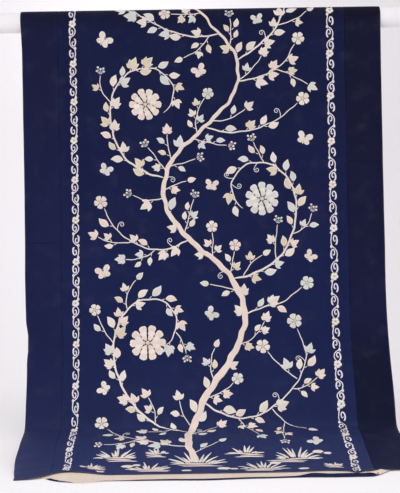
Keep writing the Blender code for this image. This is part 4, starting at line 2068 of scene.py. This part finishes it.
@dataclass
class HangingRail:
    """The plain round rail, which is carried over and painted."""

    node: str = "rail"
    finish: RailPaint = RailPaint()

    def dress(self, effects: Effects) -> Obj:
        """Gives the rail its paint.

        Args:
            effects: The shared effects.

        Returns:
            The rail.
        """
        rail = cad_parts[self.node]
        rail.data.materials.clear()
        rail.data.materials.append(self.finish.material(effects))
        log.info("%s painted", self.node)
        return rail


@dataclass
class Studio:
    """The pale floor and backdrop, the soft lights and the camera."""

    half_width: float = 6.0
    front: float = -6.0
    bend: float = 0.9
    wall: float = 1.75
    height: float = 5.0
    lens: float = 79.0
    eye: tuple[float, float] = (-0.0117, 0.66)
    distance: float = 2.9347
    pitch: float = 3.0
    roll: float = 0.9

    def build_floor(self) -> Obj:
        """Sweeps a pale floor up into a pale backdrop.

        Returns:
            The backdrop's object.
        """
        bm = bmesh.new()
        corners = [bm.verts.new((x, self.front, 0.0)) for x in (-self.half_width, self.half_width)]
        edges = [bm.edges.new(corners)]
        flat = self.wall - self.bend
        verts, edges = self._drawn_out(bm, edges, (0, flat - self.front, 0))
        spun = bmesh.ops.spin(
            bm, geom=verts + edges, cent=(0, flat, self.bend), axis=(1, 0, 0),
            angle=math.pi / 2, steps=24, use_merge=False,
        )
        top = [e for e in spun["geom_last"] if isinstance(e, bmesh.types.BMEdge)]
        self._drawn_out(bm, top, (0, 0, self.height))
        bmesh.ops.recalc_face_normals(bm, faces=bm.faces[:])
        if next(iter(bm.faces)).normal.z < 0:
            bmesh.ops.reverse_faces(bm, faces=bm.faces[:])
        floor = finished("studio_floor", bm, self._paint())
        return floor

    @staticmethod
    def _drawn_out(bm: bmesh.types.BMesh, edges: list, way: Colour) -> tuple[list, list]:
        """Draws edges out into a sheet.

        Args:
            bm: The backdrop's bmesh.
            edges: The edges.
            way: How far they are drawn.

        Returns:
            The sheet's new vertices and edges.
        """
        made = bmesh.ops.extrude_edge_only(bm, edges=edges)["geom"]
        verts = [e for e in made if isinstance(e, bmesh.types.BMVert)]
        bmesh.ops.translate(bm, verts=verts, vec=way)
        return verts, [e for e in made if isinstance(e, bmesh.types.BMEdge)]

    @staticmethod
    def _paint() -> Material:
        """A pale paint on one side of the backdrop, which is clear from its other side.

        Returns:
            The paint.
        """
        material, bench, shader = new_finish("pale studio paint", Roughness=0.9, Specular_IOR_Level=0.1)
        place = bench.add("TexCoord").outputs["Object"]
        cloud = bench.noise(place, 0.7)
        colour = bench.mix(bench.ranged(cloud, 0.3, 0.7), shade(251, 250, 250), shade(248, 246, 247))
        bench.end(shader, Base_Color=colour)
        behind = bench.add("NewGeometry").outputs["Backfacing"]
        clear = bench.add("BsdfTransparent").outputs[0]
        both = bench.add("MixShader", {0: behind, 1: shader.outputs[0], 2: clear})
        bench.end(material.node_tree.nodes["Material Output"], Surface=both.outputs[0])
        return material

    def build_lights(self) -> None:
        """Hangs four broad soft lights and a pale surround."""
        lights = (
            ("overhead", (0.0, -1.0, 2.7), (0.0, -0.35, 0.0), 1.0, 1.9, 44.0, (1.0, 0.99, 1.0)),
            ("left key", (-1.7, -2.7, 0.75), (0.0, 0.0, 0.35), 1.8, 8.2, 180.0, (1.0, 0.99, 0.995)),
            ("right fill", (2.2, -2.6, 0.8), (0.0, 0.0, 0.35), 1.8, 2.8, 180.0, (1.0, 0.98, 1.0)),
            ("backdrop wash", (-0.3, 0.85, 1.9), (-0.2, 1.75, 0.45), 0.8, 2.8, 110.0, (1.0, 0.95, 0.985)),
        )
        for name, place, aim, size, power, spread, colour in lights:
            data = bpy.data.lights.new(name, "AREA")
            data.shape = "SQUARE"
            data.spread = math.radians(spread)
            data.size, data.energy, data.color = size, power, colour
            light = bpy.data.objects.new(name, data)
            light.location = place
            light.visible_camera = False
            light.rotation_mode = "QUATERNION"
            light.rotation_quaternion = (Vector(aim) - Vector(place)).to_track_quat("-Z", "Y")
            bpy.context.scene.collection.objects.link(light)
        world = bpy.data.worlds.new("studio surround")
        world.use_nodes = True
        background = world.node_tree.nodes["Background"]
        background.inputs["Color"].default_value = (0.93, 0.92, 0.95, 1.0)
        background.inputs["Strength"].default_value = 0.9
        bpy.context.scene.world = world
        bpy.context.scene.view_settings.view_transform = "Standard"

    def build_camera(self, rail_y: float) -> Obj:
        """Stands the camera in front of the cloth, level with its middle.

        Args:
            rail_y: Where the rail's axis is.

        Returns:
            The camera.
        """
        data = bpy.data.cameras.new("camera")
        data.lens = self.lens
        camera = bpy.data.objects.new("camera", data)
        place = Matrix.Translation((self.eye[0], rail_y - self.distance, self.eye[1]))
        tilt = Matrix.Rotation(math.radians(90 - self.pitch), 4, "X")
        camera.matrix_world = place @ tilt @ Matrix.Rotation(math.radians(-self.roll), 4, "Z")
        bpy.context.scene.collection.objects.link(camera)
        bpy.context.scene.camera = camera
        return camera


def main() -> None:
    """Builds the whole scene, piece by piece."""
    logging.basicConfig(level=logging.INFO, format="%(name)s: %(message)s")
    fall = ClothFall()
    studio = Studio()
    studio.build_floor()
    studio.build_lights()
    studio.build_camera(fall.rail_y)
    effects = Effects()
    HangingRail().dress(effects)

    silk = PiecedSilk(fall)
    panel_cut, panel = silk.panel(effects)
    bands = silk.band("left_band", -1, fall.seam(LEFT_SEAM_PLACE), silk.left_silk, effects)
    bands += silk.band("right_band", 1, fall.seam(RIGHT_SEAM_PLACE), silk.right_silk, effects)
    lining_cut, lining = Lining(fall).build(effects)

    floss = Floss("silk floss", 0.0006).material(effects)
    left_roses = (36, 144, 254, 374, 486, 596, 706, 817, 924, 1029, 1132, 1233, 1339)
    right_roses = (90, 205, 319, 424, 538, 657, 785, 902, 1017, 1138, 1251, 1366)
    left = ScrollBorder("left_border", -0.3425, False, left_roses, 0.1076, 0.0078, 0.0096, 11)
    right = ScrollBorder("right_border", 0.3425, True, right_roses, 0.1165, 0.0083, 0.0102, 12)
    borders = [border.build(fall, floss) for border in (left, right)]
    vine = FloweringVine().build(fall, floss)
    felling = FellingStitches().build(fall, Floss("felling thread", 0.0003, 0.6).material(effects))

    panel_cut.declare(panel, borders + vine)
    for cut, piece in bands:
        cut.declare(piece)
    lining_cut.declare(lining, [felling])


if __name__ == "__main__":
    main()
